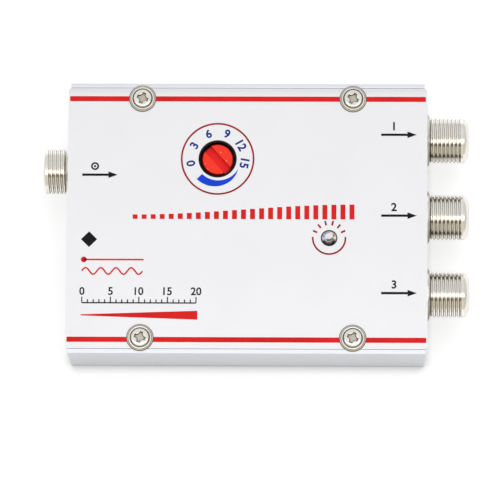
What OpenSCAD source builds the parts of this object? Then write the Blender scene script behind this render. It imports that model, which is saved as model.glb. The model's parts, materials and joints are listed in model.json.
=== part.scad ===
// Cable television signal amplifier: one input port, three output ports,
// a gain control worked with a screwdriver and a power light.
// An extruded aluminium channel carries a circuit board in two slots, a sheet
// panel closes each end and holds the ports, and a printed plate screws down on top.
// Lengths are in millimetres. X runs from input to output, Y to the back, Z up,
// with the origin in the middle of the underside.

/* [Channel] */
// Length of the extruded channel
channel_l = 75; // [72:0.5:95]
// Width across the outside of the channel walls
channel_w = 58; // [57:0.5:75]
// Height of the channel walls, flush with the top of the cover
channel_h = 16.5; // [15.5:0.5:24]
// Thickness of the side walls
wall_t = 0.9; // [0.7:0.1:1.5]
// Thickness of the floor
floor_t = 1.2; // [0.8:0.1:2]
// Radius of the long bottom edges
bottom_r = 0.6; // [0.2:0.1:0.8]
// Radius of the inside corners
inside_r = 0.8; // [0.4:0.1:1]
// Width of each screw rail, from the inside of the wall
rail_w = 4.4; // [4:0.1:4.6]
// Thickness of each rail under its screw groove
rail_floor_t = 0.6; // [0.4:0.1:0.9]
// Width of the ribs that make the board slots
rib_w = 1.4; // [1:0.1:2]
// Thickness of each board slot rib
rib_t = 0.8; // [0.6:0.1:1.2]

/* [Cover] */
// Thickness of the cover plate
cover_t = 1; // [0.8:0.1:1.6]
// How far the cover reaches past each end of the channel
cover_overhang = 0.5; // [0.2:0.1:1.5]
// Gap between the cover and each channel wall
cover_gap = 0.1; // [0.05:0.05:0.3]
// Corner radius of the cover
cover_corner_r = 0.6; // [0.2:0.1:2]

/* [Cover screws] */
// Distance between the screws along the channel
screw_pitch = 44.6; // [36:0.2:56]
// Distance from the cover's long edge to the screw line
screw_inset = 2.3; // [2.1:0.1:2.5]
// Diameter of the screw's washer flange
screw_flange_d = 5.75; // [5.2:0.05:6.4]
// Thickness of the washer flange at its raised ring
screw_flange_t = 0.5; // [0.4:0.05:0.7]
// Thickness of the washer flange at its rim
screw_rim_t = 0.15; // [0.1:0.05:0.3]
// Width of the raised ring round the screw head
screw_ring_w = 0.2; // [0.1:0.05:0.3]
// Width of the groove between the ring and the head
screw_groove_w = 0.3; // [0.2:0.05:0.4]
// Depth of that groove
screw_groove_depth = 0.2; // [0.1:0.05:0.3]
// Diameter of the screw head
screw_head_d = 3.7; // [3.4:0.1:4]
// Height of the screw head above the cover
screw_head_h = 0.85; // [0.75:0.05:1.2]
// Height of the curved crown on the screw head
screw_crown_h = 0.15; // [0.1:0.05:0.2]
// Diameter of the screw shank
screw_shank_d = 2.3; // [1.9:0.1:2.5]
// Length of the screw under its flange
screw_l = 3.7; // [3:0.1:4.2]
// Length of the screw's tapered tip
screw_tip_l = 0.8; // [0.4:0.1:1.2]
// Diameter of the cross recess
recess_d = 2.4; // [1.8:0.1:2.8]
// Depth of the cross recess
recess_depth = 0.9; // [0.7:0.1:1.1]
// Width of each arm of the cross recess
recess_arm_w = 0.6; // [0.4:0.05:0.8]

/* [End panels] */
// Thickness of the end panels
panel_t = 0.8; // [0.5:0.1:1.2]
// Distance from the end of the channel to the panel's outer face
panel_inset = 0.9; // [0.5:0.1:1.8]
// Clearance between a panel and the channel's inside
panel_gap = 0.15; // [0.1:0.05:0.3]

/* [Ports] */
// Distance from the back screw rail to the input port's axis
input_back_margin = 12.1; // [8:0.1:15]
// Distance from the back screw rail to the first output port's axis
output_back_margin = 5.2; // [4.8:0.1:7.5]
// Distance from the front screw rail to the last output port's axis
output_front_margin = 8.8; // [4.8:0.1:9.5]
// Outside diameter of the port thread
thread_d = 9.5; // [9:0.1:10]
// Pitch of the port thread
thread_pitch = 0.794; // [0.6:0.002:1]
// Length of the input thread past its nut
input_thread_l = 4.9; // [4:0.1:12]
// Length of the output threads past their nuts
output_thread_l = 8.3; // [4:0.1:14]
// Length of the round rim at the mouth of a port
mouth_round_l = 1.3; // [0.6:0.1:1.6]
// Width of the flat ring inside that rim
mouth_flat = 0.15; // [0.1:0.05:0.4]
// Width of the port nut across its flats
nut_af = 11.1; // [10.8:0.1:11.6]
// Thickness of the port nut
nut_t = 2; // [1.5:0.1:2.6]
// How far the ring on the nut's outer face lies inside its flats
nut_face_inset = 0.55; // [0.2:0.05:0.6]
// Turn of the nuts of outputs 1, 2 and 3 from flat side up, in degrees
nut_turns = [-15, 4, 6]; // [-30:1:30]
// How far the port's flange reaches past its hole in the panel
flange_lip = 0.7; // [0.5:0.1:1]
// Thickness of the port's flange
flange_t = 1.2; // [0.8:0.1:1.8]
// Wall of the port's barrel behind the flange
barrel_wall = 0.6; // [0.4:0.1:0.9]
// Length of the port's barrel
barrel_l = 2; // [1:0.1:2.6]
// Diameter of the bore that holds the insulator
socket_d = 5.8; // [5.4:0.1:7]
// Depth of the insulator's face behind the mouth
insulator_recess = 0.3; // [0.1:0.05:0.8]
// Diameter of the pin hole in the insulator's face
pin_hole_d = 1.5; // [1.3:0.1:1.8]
// Length of the pin hole
pin_hole_l = 2.2; // [1.6:0.1:2.6]
// Outside diameter of the spring contact
contact_d = 2.4; // [2.2:0.1:3]
// Bore of the spring contact
contact_bore_d = 1.1; // [0.9:0.05:1.3]
// Depth of the contact's bore
contact_bore_l = 3; // [2:0.1:4]
// Diameter of the contact's tail
tail_d = 0.9; // [0.7:0.05:1.1]
// Reach of the tail behind the barrel
tail_reach = 1.6; // [1.2:0.1:2.4]

/* [Mains inlet] */
// Distance from the front screw rail to the mains inlet's axis
inlet_front_margin = 14.7; // [10:0.1:17]
// Height of the mains inlet's axis over the ports' axes
inlet_rise = 0.8; // [0.5:0.1:1.5]
// Bore of the inlet bush
inlet_bore_d = 5; // [4:0.1:5.6]
// Wall of the bush where it passes the panel
inlet_wall = 1; // [0.8:0.1:1.2]
// How far the bush's flanges reach past its hole in the panel
inlet_lip = 1; // [0.6:0.1:1.2]
// Thickness of each bush flange
inlet_flange_t = 1; // [0.6:0.1:1.4]
// Bevel on the rim of each bush flange
inlet_bevel = 0.4; // [0.2:0.1:0.5]

/* [Gain control] */
// Place of the gain control along the case
gain_x = -6.3; // [-8:0.1:-5]
// Place of the gain control across the case
gain_y = 12.7; // [11:0.1:14]
// Gap between the control's collar and the cover
gain_hole_gap = 0.15; // [0.1:0.05:0.4]
// Wall of the collar
collar_t = 0.25; // [0.2:0.05:0.5]
// Depth of the collar below the top of the cover
collar_recess = 0.25; // [0.1:0.05:0.3]
// Side of the control's square body
gain_body_side = 9.4; // [9:0.1:10]
// Height of the control's square body
gain_body_h = 4.6; // [4:0.1:5.6]
// Corner radius of the control's square body
gain_corner_r = 0.6; // [0.3:0.1:1]
// Diameter of the rotor's slotted head
rotor_d = 6.8; // [6:0.1:7.2]
// Thickness of the rotor's head
rotor_head_t = 2.2; // [1.6:0.1:2.6]
// Bevel on the rim of the rotor's head
rotor_bevel = 0.3; // [0.1:0.05:0.4]
// Depth of the rotor below the top of the cover
rotor_recess = 0.6; // [0.3:0.1:1]
// Clearance round the rotor's head
well_gap = 0.25; // [0.2:0.05:0.35]
// Diameter of the rotor's shaft
shaft_d = 3.6; // [3:0.1:4]
// Thickness of the housing under the shaft
shaft_floor_t = 0.8; // [0.5:0.1:1.5]
// Width of the screwdriver slot
slot_w = 1.8; // [1:0.1:2.2]
// Depth of the screwdriver slot
slot_depth = 1.1; // [0.8:0.1:1.3]
// Turn of the slot from the X axis, in degrees
slot_turn = -48; // [-90:1:90]
// Diameter of the control's terminals
terminal_d = 0.8; // [0.6:0.1:1]
// Spacing of the terminals from the middle of the control
terminal_pitch = 2.5; // [2:0.1:3.5]

/* [Power light] */
// Place of the light along the case
light_x = 17.3; // [16:0.1:18.5]
// Place of the light across the case
light_y = -4.3; // [-5:0.1:-3]
// Diameter of the light's lens
lens_d = 3.2; // [2.8:0.1:3.4]
// Gap between the lens and the cover
light_hole_gap = 0.15; // [0.1:0.05:0.3]
// Height of the lens above the cover
lens_rise = 0.9; // [0.3:0.1:1.5]
// Length of the lens over its flange
lens_l = 4.4; // [4:0.1:5]
// How far the lens's flange reaches past the lens
lens_lip = 0.35; // [0.2:0.05:0.5]
// Thickness of the lens's flange
lens_flange_t = 1; // [0.6:0.1:1.2]
// Distance between the two leads
light_lead_pitch = 1.27; // [1.1:0.01:1.5]
// Side of the square leads
light_lead_side = 0.5; // [0.4:0.05:0.6]
// Height of the leads inside the lens
light_lead_rise = 2.2; // [1.6:0.1:2.6]
// How much lower the plain lead ends than the lead under the cup
light_post_drop = 0.3; // [0.2:0.05:0.5]
// Diameter of the cup in the middle of the lens
light_cup_d = 0.9; // [0.8:0.05:1.1]
// Height of the cup
light_cup_h = 0.7; // [0.5:0.05:0.9]
// Height of the anvil that joins the cup to its lead
light_anvil_h = 0.5; // [0.4:0.05:0.8]
// Reach of the anvil past the middle of the lens
light_anvil_reach = 0.2; // [0.1:0.05:0.25]

/* [Circuit board] */
// Thickness of the circuit board
board_t = 1.6; // [1:0.1:2]
// Height of the board over the channel's floor
board_standoff = 3.3; // [2.6:0.1:3.4]
// Clearance of the board in its slots
board_gap = 0.1; // [0.05:0.05:0.2]
// Clearance round the ports in the board's notches
notch_gap = 0.5; // [0.3:0.1:0.7]
// Clearance round the leads in the board's holes
lead_gap = 0.1; // [0.05:0.05:0.2]
// Length of the leads under the board
lead_end_l = 0.6; // [0.3:0.1:1]
// Thickness of the insulating sheet on the floor
sheet_t = 0.3; // [0.1:0.05:0.5]
// Distance from the insulating sheet to the channel walls
sheet_margin = 2.5; // [1.5:0.1:5]

/* [Power supply parts] */
// Diameter of the two can capacitors
can_d = 6.3; // [5:0.1:6.4]
// Length of the two can capacitors
can_l = 11; // [9:0.5:11.5]
// Distance from a can's sealed end to its rolled groove
can_groove_at = 1.6; // [1.2:0.1:2.4]
// Depth of the rolled groove and of the can's end bevels
can_groove_depth = 0.3; // [0.2:0.05:0.4]
// Length of the transformer core
core_l = 12; // [11:0.1:12.5]
// Width of the transformer core
core_w = 13; // [12:0.1:13.2]
// Height of the transformer core
core_h = 4.4; // [3.6:0.1:4.8]
// Thickness of the core's yokes and outer legs
core_leg_t = 1.6; // [1.4:0.1:1.8]
// Width of the core's middle leg
core_middle_w = 3.2; // [3:0.1:3.4]
// Wall of the winding's bobbin
bobbin_t = 0.5; // [0.4:0.05:0.6]
// Clearance between the core, the bobbin and the winding
bobbin_gap = 0.1; // [0.05:0.01:0.15]
// Height of the bobbin past the core, above and below
bobbin_rise = 1.6; // [1.3:0.1:1.8]
// Length of the rectifier
bridge_l = 4.7; // [4:0.1:5.4]
// Width of the rectifier
bridge_w = 4; // [3.4:0.1:4.6]
// Height of the rectifier's moulding
bridge_h = 2.4; // [1.6:0.1:3]
// Length of the converter chip
chip_l = 4.9; // [4.6:0.1:5.4]
// Width of the converter chip
chip_w = 3.9; // [3.4:0.1:4.4]
// Height of the converter chip's moulding
chip_h = 1.5; // [1:0.1:2]
// Diameter of the fuse resistor
fuse_d = 3; // [2.4:0.1:3.4]
// Length of the fuse resistor
fuse_l = 7.5; // [6:0.1:8]
// Diameter of the output diode
diode_d = 2.6; // [2:0.1:2.8]
// Length of the output diode
diode_l = 5; // [4:0.1:5.4]

/* [Signal parts] */
// Length of the transistor's moulding
transistor_l = 4.5; // [4:0.1:5]
// Width of the transistor's moulding
transistor_w = 2.5; // [2:0.1:3]
// Height of the transistor's moulding
transistor_h = 1.2; // [0.8:0.1:1.6]
// Thickness of the transistor's tabs
transistor_tab_t = 0.4; // [0.2:0.05:0.5]
// Length of each splitter core
splitter_l = 6; // [5:0.1:6.5]
// Width of each splitter core
splitter_w = 7; // [6:0.1:7.5]
// Height of each splitter core
splitter_h = 4; // [3.4:0.1:4.6]
// Diameter of the two holes through each splitter core
splitter_hole_d = 1.6; // [1.4:0.1:1.8]
// Distance between those holes
splitter_hole_pitch = 3.1; // [2.6:0.1:3.4]
// Diameter of the winding wire
splitter_wire_d = 0.7; // [0.5:0.05:0.8]
// Diameter of the choke
choke_d = 3; // [2.4:0.1:3.4]
// Length of the choke
choke_l = 6; // [5:0.1:6.6]
// Diameter of the disc capacitors
disc_d = 4.4; // [3.6:0.1:5]
// Thickness of the disc capacitors
disc_t = 1.7; // [1.2:0.1:2]
// Spacing of a disc capacitor's leads
disc_lead_pitch = 2.5; // [2:0.1:3]
// Diameter of the resistors
resistor_d = 2.3; // [1.8:0.1:2.6]
// Length of the resistors
resistor_l = 6; // [5:0.1:6.5]
// Diameter of the component leads
lead_d = 0.5; // [0.4:0.05:0.6]
// Reach of a component's leads past its body
lead_reach = 1.2; // [0.8:0.1:1.4]
// Height of the round components over the board
lead_lift = 0.3; // [0.1:0.1:0.6]

/* [Board layout] */
// Distance from the front wall to the front row of parts
front_row_gap = 7.6; // [7:0.1:9]
// Distance from the back wall to the back row of parts
back_row_gap = 8.1; // [7:0.1:9]
// Distance from the output tails to the splitter cores
splitter_setback = 9; // [8.5:0.1:10]
// Distance from the output tails to the nearest disc capacitors
disc_setback = 4; // [3:0.1:5]
// Distance from the input tail to the parts beside it
input_setback = 8; // [7:0.1:9]
// Distance from the input panel to the rectifier
bridge_setback = 7; // [6:0.1:7.5]
// Distance from the input panel to the fuse resistor
fuse_setback = 12.8; // [12:0.1:13]
// Gap between neighbours on the board
part_gap = 1.2; // [0.8:0.1:1.4]
// Gap between the larger parts on the board
wide_gap = 2; // [1.6:0.1:2.4]
// Step from one signal part to the next
signal_step = 6; // [5.5:0.1:6.5]

/* [Hidden] */
$fn = 48;
// Radial clearance of parts that are pressed or screwed together
close_gap = 0.05;
// Clearance of the cover's screw holes and of the screw tips in their grooves
screw_gap = 0.35;
screw_tip_gap = 0.2;
// How far a cut runs past the face that it opens
cut = 1;

// Heights and widths of the case
seat_z = channel_h - cover_t;
inside_w = channel_w - 2 * wall_t;
wall_y = inside_w / 2;
rail_inner_y = wall_y - rail_w;
cover_l = channel_l + 2 * cover_overhang;
cover_w = inside_w - 2 * cover_gap;
screw_y = cover_w / 2 - screw_inset;
groove_w = screw_shank_d + 2 * close_gap;
groove_depth = screw_l - cover_t + screw_tip_gap;
rail_h = groove_depth + rail_floor_t;
board_z = floor_t + board_standoff;
board_top = board_z + board_t;
panel_x = channel_l / 2 - panel_inset;
panel_inner_x = panel_x - panel_t;

// Ports: the nut and the thread meet at the thread's pitch diameter
port_z = (floor_t + seat_z) / 2;
input_y = rail_inner_y - input_back_margin;
inlet_y = inlet_front_margin - rail_inner_y;
inlet_z = port_z + inlet_rise;
output_pitch = rail_inner_y - (output_back_margin + output_front_margin) / 2;
output_places = [for (i = [0:2]) rail_inner_y - output_back_margin - i * output_pitch];
flank_share = 0.65;
thread_pitch_d = thread_d - flank_share * thread_pitch;
port_hole_d = thread_d + 2 * close_gap;
flange_d = port_hole_d + 2 * flange_lip;
barrel_d = socket_d + 2 * barrel_wall;
port_back = panel_t + flange_t + barrel_l;
tail_x = panel_x - port_back - tail_reach;
notch_depth = flange_t + barrel_l + notch_gap;
inlet_neck_d = inlet_bore_d + 2 * inlet_wall;
inlet_flange_d = inlet_neck_d + 2 * inlet_lip;

// Gain control and power light, hung from the top of the cover
well_d = rotor_d + 2 * well_gap;
collar_d = well_d + 2 * collar_t;
gain_hole_d = collar_d + 2 * gain_hole_gap;
rotor_top = channel_h - rotor_recess;
rotor_seat = rotor_top - rotor_head_t;
shaft_foot = board_top + shaft_floor_t;
terminal_places = terminal_pitch * [[-1, -1], [1, -1], [0, 1]];
light_hole_d = lens_d + 2 * light_hole_gap;
light_flange_z = channel_h + lens_rise - lens_l - lens_flange_t;

// Transformer windows and the height of its middle leg
window_w = (core_w - core_middle_w) / 2 - core_leg_t;
window_l = core_l - 2 * core_leg_t;
leg_z = core_h / 2 + bobbin_rise;

// Rows along the front and back walls, and the chain of parts from the outputs to the mains end
front_row_y = front_row_gap - wall_y;
back_row_y = wall_y - back_row_gap;
splitter_x = tail_x - splitter_setback;
splitter_reach = (splitter_l + splitter_hole_pitch + splitter_wire_d) / 2 + close_gap;
output_can_x = splitter_x - splitter_reach - part_gap - can_d / 2;
transformer_x = output_can_x - can_d / 2 - part_gap - core_l / 2;
bulk_can_x = transformer_x - core_l / 2 - wide_gap - can_l / 2;
transistor_x = gain_x + gain_body_side / 2 + signal_step + wide_gap;
input_part_x = input_setback - tail_x;
middle_row_y = gain_y - gain_body_side / 2 - signal_step;

// Places of the parts on the board
output_can_at = [output_can_x, front_row_y + wide_gap + can_l / 2];
transformer_at = [transformer_x, front_row_y + core_w / 2];
bulk_can_at = [bulk_can_x, front_row_y];
chip_at = [bulk_can_x, front_row_y + can_d / 2 + 2 * wide_gap + chip_w / 2];
bridge_at = [bridge_setback - panel_inner_x, front_row_y];
fuse_at = [fuse_setback - panel_inner_x, front_row_y + (can_d + part_gap + fuse_d) / 2];
diode_at = [output_can_x, front_row_y - part_gap];
transistor_at = [transistor_x, gain_y];
choke_at = [transistor_x + signal_step, back_row_y];
splitter_places = [
    [splitter_x, (output_places[0] + output_places[1]) / 2], [splitter_x, output_places[2] + wide_gap]
];
disc_places = [
    [input_part_x, input_y], [input_part_x + signal_step - part_gap, input_y + signal_step],
    [transistor_x - signal_step + wide_gap, back_row_y],
    [transistor_x + signal_step - wide_gap, gain_y - signal_step + part_gap],
    [tail_x - disc_setback, output_places[1]], [tail_x - disc_setback, front_row_y]
];
resistor_places = [
    [input_part_x, back_row_y], [input_part_x + wide_gap, input_y - signal_step - wide_gap],
    [gain_x + wide_gap, middle_row_y], [transistor_x + wide_gap, middle_row_y],
    [transformer_x - part_gap, front_row_y - signal_step / 2]
];

// Shared shapes

// Carries a profile drawn in Y and Z along X, centred
module along_x(length) {
    rotate([90, 0, 90]) translate([0, 0, -length / 2]) linear_extrude(length) children();
}

// Turns a profile drawn in radius and height round the X axis, with its height along +X
module turn_about_x() {
    rotate([0, 90, 0]) rotate_extrude() children();
}

// A cylinder along X from x0 to x1
module rod_x(x0, x1, d) {
    translate([x0, 0, 0]) rotate([0, 90, 0]) cylinder(h = x1 - x0, d = d);
}

// A rectangle with four round corners, centred
module round_rect(w, h, r) {
    square([w - 2 * r, h], center = true);
    square([w, h - 2 * r], center = true);
    for (x = [-1, 1], y = [-1, 1])
        translate([x * (w / 2 - r), y * (h / 2 - r)]) circle(r);
}

// The web of a round inside corner at the origin, filling +X and +Y
module corner_fillet(r) {
    difference() {
        square(r);
        translate([r, r]) circle(r);
    }
}

// Draws a flat profile and its mirror image
module both_sides() {
    children();
    mirror([1, 0]) children();
}

// The channel, its cover and the end panels

// One side of the channel's section: half the floor, a wall, a board slot and a screw rail
module channel_half_section() {
    difference() {
        union() {
            translate([-cut, 0]) square([channel_w / 2 + cut, floor_t]);
            translate([wall_y, 0]) square([wall_t, channel_h]);
            translate([rail_inner_y, seat_z - rail_h]) square([rail_w, rail_h]);
            translate([wall_y, seat_z - rail_h]) rotate(180) corner_fillet(inside_r);
            translate([wall_y, floor_t]) rotate(90) corner_fillet(inside_r);
            for (rib_z = [board_z - rib_t, board_top + board_gap])
                translate([wall_y - rib_w, rib_z]) square([rib_w, rib_t]);
        }
        translate([channel_w / 2, 0]) rotate(90) corner_fillet(bottom_r);
        translate([screw_y, seat_z - groove_depth + groove_w / 2]) {
            circle(d = groove_w);
            translate([-groove_w / 2, 0]) square([groove_w, groove_depth]);
        }
    }
}

module base_channel() {
    color("gainsboro") along_x(channel_l) both_sides() channel_half_section();
}

module cover_plate() {
    color("whitesmoke") translate([0, 0, seat_z]) linear_extrude(cover_t) difference() {
        round_rect(cover_l, cover_w, cover_corner_r);
        for (x = [-1, 1], y = [-1, 1])
            translate([x * screw_pitch / 2, y * screw_y]) circle(d = screw_shank_d + 2 * screw_gap);
        translate([gain_x, gain_y]) circle(d = gain_hole_d);
        translate([light_x, light_y]) circle(d = light_hole_d);
    }
}

// The tapered hole for a cross-tip screwdriver, with its floor at z = 0
module cross_recess() {
    point_d = 0.4 * recess_d;
    slope = (recess_d - point_d) / recess_depth;
    intersection() {
        for (turn = [0, 90]) rotate(turn)
            translate([-recess_d, -recess_arm_w / 2, 0])
                cube([2 * recess_d, recess_arm_w, recess_depth + cut]);
        cylinder(h = recess_depth + cut, d1 = point_d, d2 = recess_d + slope * cut);
    }
}

// A washer-headed self-tapping screw, seated at z = 0 and pointing down
module cover_screw() {
    shank_r = screw_shank_d / 2;
    groove_r = screw_head_d / 2 + screw_groove_w;
    groove_z = screw_flange_t - screw_groove_depth;
    root_z = groove_z / 2;
    crown_r = (pow(screw_head_d / 2, 2) + pow(screw_crown_h, 2)) / (2 * screw_crown_h);
    difference() {
        union() {
            rotate_extrude() polygon([
                [0, groove_z], [groove_r, groove_z], [groove_r, screw_flange_t],
                [groove_r + screw_ring_w, screw_flange_t], [screw_flange_d / 2, screw_rim_t],
                [screw_flange_d / 2, 0], [shank_r, 0], [shank_r, screw_tip_l - screw_l],
                [shank_r / 2, -screw_l], [0, -screw_l]
            ]);
            rotate_extrude() intersection() {
                translate([0, screw_head_h - crown_r]) circle(crown_r);
                translate([0, root_z]) square([screw_head_d / 2, screw_head_h]);
            }
        }
        translate([0, 0, screw_head_h - recess_depth]) cross_recess();
    }
}

module cover_screws() {
    drive_turn = 68;
    turn_step = 4;
    color("silver") for (x = [-1, 1], y = [-1, 1])
        translate([x * screw_pitch / 2, y * screw_y, channel_h])
            rotate(drive_turn + turn_step * x * y) cover_screw();
}

// An end panel with its port holes, notched round the rails, the board slots and the fillets
module end_panel(hole_places) {
    side_y = wall_y - panel_gap;
    rib_y = side_y - rib_w;
    rail_y = side_y - rail_w;
    top_z = seat_z - panel_gap;
    rail_z = seat_z - rail_h - panel_gap;
    slot_low = board_z - rib_t - panel_gap;
    slot_high = board_top + board_gap + rib_t + panel_gap;
    half_outline = [
        [side_y - inside_r, floor_t], [side_y, floor_t + inside_r],
        [side_y, slot_low], [rib_y, slot_low], [rib_y, slot_high], [side_y, slot_high],
        [side_y, rail_z - inside_r], [side_y - inside_r, rail_z], [rail_y, rail_z], [rail_y, top_z]
    ];
    last = len(half_outline) - 1;
    other_half = [for (i = [0:last]) [-half_outline[last - i][0], half_outline[last - i][1]]];
    along_x(panel_t) difference() {
        polygon(concat(half_outline, other_half));
        for (y = hole_places) translate([y, port_z]) circle(d = port_hole_d);
    }
}

module input_end_panel() {
    color("lightgray") translate([panel_t / 2 - panel_x, 0, 0]) difference() {
        end_panel([input_y]);
        translate([0, inlet_y, inlet_z]) rod_x(-cut, cut, inlet_neck_d + 2 * close_gap);
    }
}

module output_end_panel() {
    color("lightgray") translate([panel_x - panel_t / 2, 0, 0]) end_panel(output_places);
}

// The coaxial ports and the mains inlet

// Carries what is drawn along +X from a panel's outer face: side is 1 at the outputs, -1 at the input
module at_panel(side, y, z = port_z) {
    translate([side * panel_x, y, z]) rotate(side > 0 ? 0 : 180) children();
}

// A turned shell whose rim is a quarter of an ellipse, from the flat ring at the mouth to the thread
module port_shell(thread_l) {
    mouth = nut_t + thread_l;
    thread_r = thread_d / 2;
    neck_r = thread_pitch_d / 2;
    flange_back = panel_t + flange_t;
    flat_r = socket_d / 2 + mouth_flat;
    rim_steps = 6;
    rim = [for (i = [0:rim_steps]) let (a = 90 * (1 - i / rim_steps))
        [flat_r + (thread_r - flat_r) * cos(a), mouth - mouth_round_l * (1 - sin(a))]];
    color("gainsboro") difference() {
        turn_about_x() polygon(concat([[0, mouth]], rim, [
            [thread_r, nut_t], [neck_r, nut_t], [neck_r, -panel_t], [flange_d / 2, -panel_t],
            [flange_d / 2, -flange_back], [barrel_d / 2, -flange_back], [barrel_d / 2, -port_back],
            [0, -port_back]
        ]));
        rod_x(-port_back - cut, mouth + cut, socket_d);
    }
}

// A hex nut whose outer corners are turned off at the chamfer angle
module port_nut(turn = 0) {
    chamfer = 30;
    corner_r = nut_af / sqrt(3);
    face_r = nut_af / 2 - nut_face_inset;
    outer_r = corner_r + nut_face_inset;
    color("silver") difference() {
        intersection() {
            rotate([turn, 0, 0]) rotate([0, 90, 0]) rotate(30) cylinder(h = nut_t, r = corner_r, $fn = 6);
            turn_about_x() polygon([
                [0, 0], [outer_r, 0], [outer_r, nut_t - (outer_r - face_r) * tan(chamfer)],
                [face_r, nut_t], [0, nut_t]
            ]);
        }
        rod_x(-cut, nut_t + cut, thread_pitch_d + 2 * close_gap);
    }
}

module port_insulator(thread_l) {
    face = nut_t + thread_l - insulator_recess;
    color("ivory") difference() {
        rod_x(-port_back, face, socket_d - 2 * close_gap);
        rod_x(-port_back - cut, face + cut, pin_hole_d);
        rod_x(-port_back - cut, face - pin_hole_l, contact_d + 2 * close_gap);
    }
}

// A sprung tube behind the pin hole, with a tail that bends down through the board
module port_contact(thread_l) {
    front = nut_t + thread_l - insulator_recess - pin_hole_l;
    bend_x = -port_back - tail_reach;
    drop = port_z - board_z + lead_end_l;
    color("goldenrod") {
        difference() {
            rod_x(-port_back, front, contact_d);
            rod_x(front - contact_bore_l, front + cut, contact_bore_d);
        }
        rod_x(bend_x, -port_back + tail_d, tail_d);
        translate([bend_x, 0, 0]) sphere(d = tail_d);
        translate([bend_x, 0, -drop]) cylinder(h = drop, d = tail_d);
    }
}

// The bush that lines the mains inlet, grooved to sit in the panel
module mains_inlet_bush() {
    flange_r = inlet_flange_d / 2;
    neck_r = inlet_neck_d / 2;
    bore_r = inlet_bore_d / 2;
    inner_end = -panel_t - inlet_flange_t;
    color("dimgray") at_panel(-1, inlet_y, inlet_z) turn_about_x() polygon([
        [bore_r, inlet_flange_t], [flange_r - inlet_bevel, inlet_flange_t],
        [flange_r, inlet_flange_t - inlet_bevel], [flange_r, 0], [neck_r, 0], [neck_r, -panel_t],
        [flange_r, -panel_t], [flange_r, inner_end + inlet_bevel], [flange_r - inlet_bevel, inner_end],
        [bore_r, inner_end]
    ]);
}

// The gain control

module gain_control_housing() {
    body_top = board_top + gain_body_h;
    collar_top = channel_h - collar_recess;
    color("black") translate([gain_x, gain_y, 0]) difference() {
        union() {
            translate([0, 0, board_top]) linear_extrude(gain_body_h)
                round_rect(gain_body_side, gain_body_side, gain_corner_r);
            translate([0, 0, body_top - cut]) cylinder(h = collar_top - body_top + cut, d = collar_d);
        }
        translate([0, 0, rotor_seat - well_gap]) cylinder(h = channel_h, d = well_d);
        translate([0, 0, shaft_foot]) cylinder(h = channel_h, d = shaft_d + 2 * close_gap);
    }
}

module gain_control_rotor() {
    radius = rotor_d / 2;
    color("red") translate([gain_x, gain_y, 0]) difference() {
        rotate_extrude() polygon([
            [0, shaft_foot], [shaft_d / 2, shaft_foot], [shaft_d / 2, rotor_seat], [radius, rotor_seat],
            [radius, rotor_top - rotor_bevel], [radius - rotor_bevel, rotor_top], [0, rotor_top]
        ]);
        translate([0, 0, rotor_top]) rotate(slot_turn)
            cube([rotor_d + cut, slot_w, 2 * slot_depth], center = true);
    }
}

module gain_control_terminals() {
    color("silver") for (p = terminal_places)
        translate([gain_x + p[0], gain_y + p[1], board_z - lead_end_l])
            cylinder(h = board_t + lead_end_l, d = terminal_d);
}

// The power light

// Height of a lead inside the lens: the lead on the -X side carries the anvil and the cup
function light_lead_top(side) = side < 0 ? light_lead_rise : light_lead_rise - light_post_drop;

// The block under the cup, from the outer face of its lead to past the middle, grown by a gap
module light_anvil(gap = 0) {
    start_x = -(light_lead_pitch + light_lead_side) / 2 - gap;
    half_w = light_lead_side / 2 + gap;
    translate([start_x, -half_w, light_lead_rise - light_anvil_h - gap])
        cube([light_anvil_reach + gap - start_x, 2 * half_w, light_anvil_h + 2 * gap]);
}

module power_light_lens() {
    dome_r = lens_d / 2;
    dome_z = lens_flange_t + lens_l - dome_r;
    color("azure", 0.5) translate([light_x, light_y, light_flange_z]) difference() {
        union() {
            cylinder(h = lens_flange_t, d = lens_d + 2 * lens_lip);
            cylinder(h = dome_z, d = lens_d);
            translate([0, 0, dome_z]) sphere(dome_r);
        }
        for (side = [-1, 1]) translate([side * light_lead_pitch / 2, 0, -cut])
            linear_extrude(light_lead_top(side) + close_gap + cut)
                square(light_lead_side + 2 * close_gap, center = true);
        light_anvil(close_gap);
        translate([0, 0, light_lead_rise - close_gap])
            cylinder(h = light_cup_h + 2 * close_gap, d = light_cup_d + 2 * close_gap);
    }
}

module power_light_leads() {
    foot_z = board_z - lead_end_l;
    color("silver") translate([light_x, light_y, 0]) {
        for (side = [-1, 1]) translate([side * light_lead_pitch / 2, 0, foot_z])
            linear_extrude(light_flange_z + light_lead_top(side) - foot_z)
                square(light_lead_side, center = true);
        translate([0, 0, light_flange_z]) light_anvil();
        translate([0, 0, light_flange_z + light_lead_rise]) difference() {
            cylinder(h = light_cup_h, d = light_cup_d);
            translate([0, 0, light_cup_h / 3])
                cylinder(h = light_cup_h, d1 = light_cup_d / 3, d2 = light_cup_d);
        }
    }
}

// The circuit board and the sheet under it

// A notch in the board's edge, where a port or the bush comes through the panel
module board_notch(side, y, w) {
    translate([side * (panel_inner_x - notch_depth / 2 + cut / 2), y])
        square([notch_depth + cut, w + 2 * notch_gap], center = true);
}

// The notch and the tail's hole for one port
module port_place(side, y) {
    board_notch(side, y, flange_d);
    translate([side * tail_x, y]) circle(d = tail_d + 2 * lead_gap);
}

module circuit_board() {
    color("darkgreen") translate([0, 0, board_z]) linear_extrude(board_t) difference() {
        square([2 * panel_inner_x, inside_w - 2 * board_gap], center = true);
        for (y = output_places) port_place(1, y);
        port_place(-1, input_y);
        board_notch(-1, inlet_y, inlet_flange_d);
        for (p = terminal_places)
            translate([gain_x + p[0], gain_y + p[1]]) circle(d = terminal_d + 2 * lead_gap);
        for (side = [-1, 1]) translate([light_x + side * light_lead_pitch / 2, light_y])
            square(light_lead_side + 2 * lead_gap, center = true);
    }
}

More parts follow.
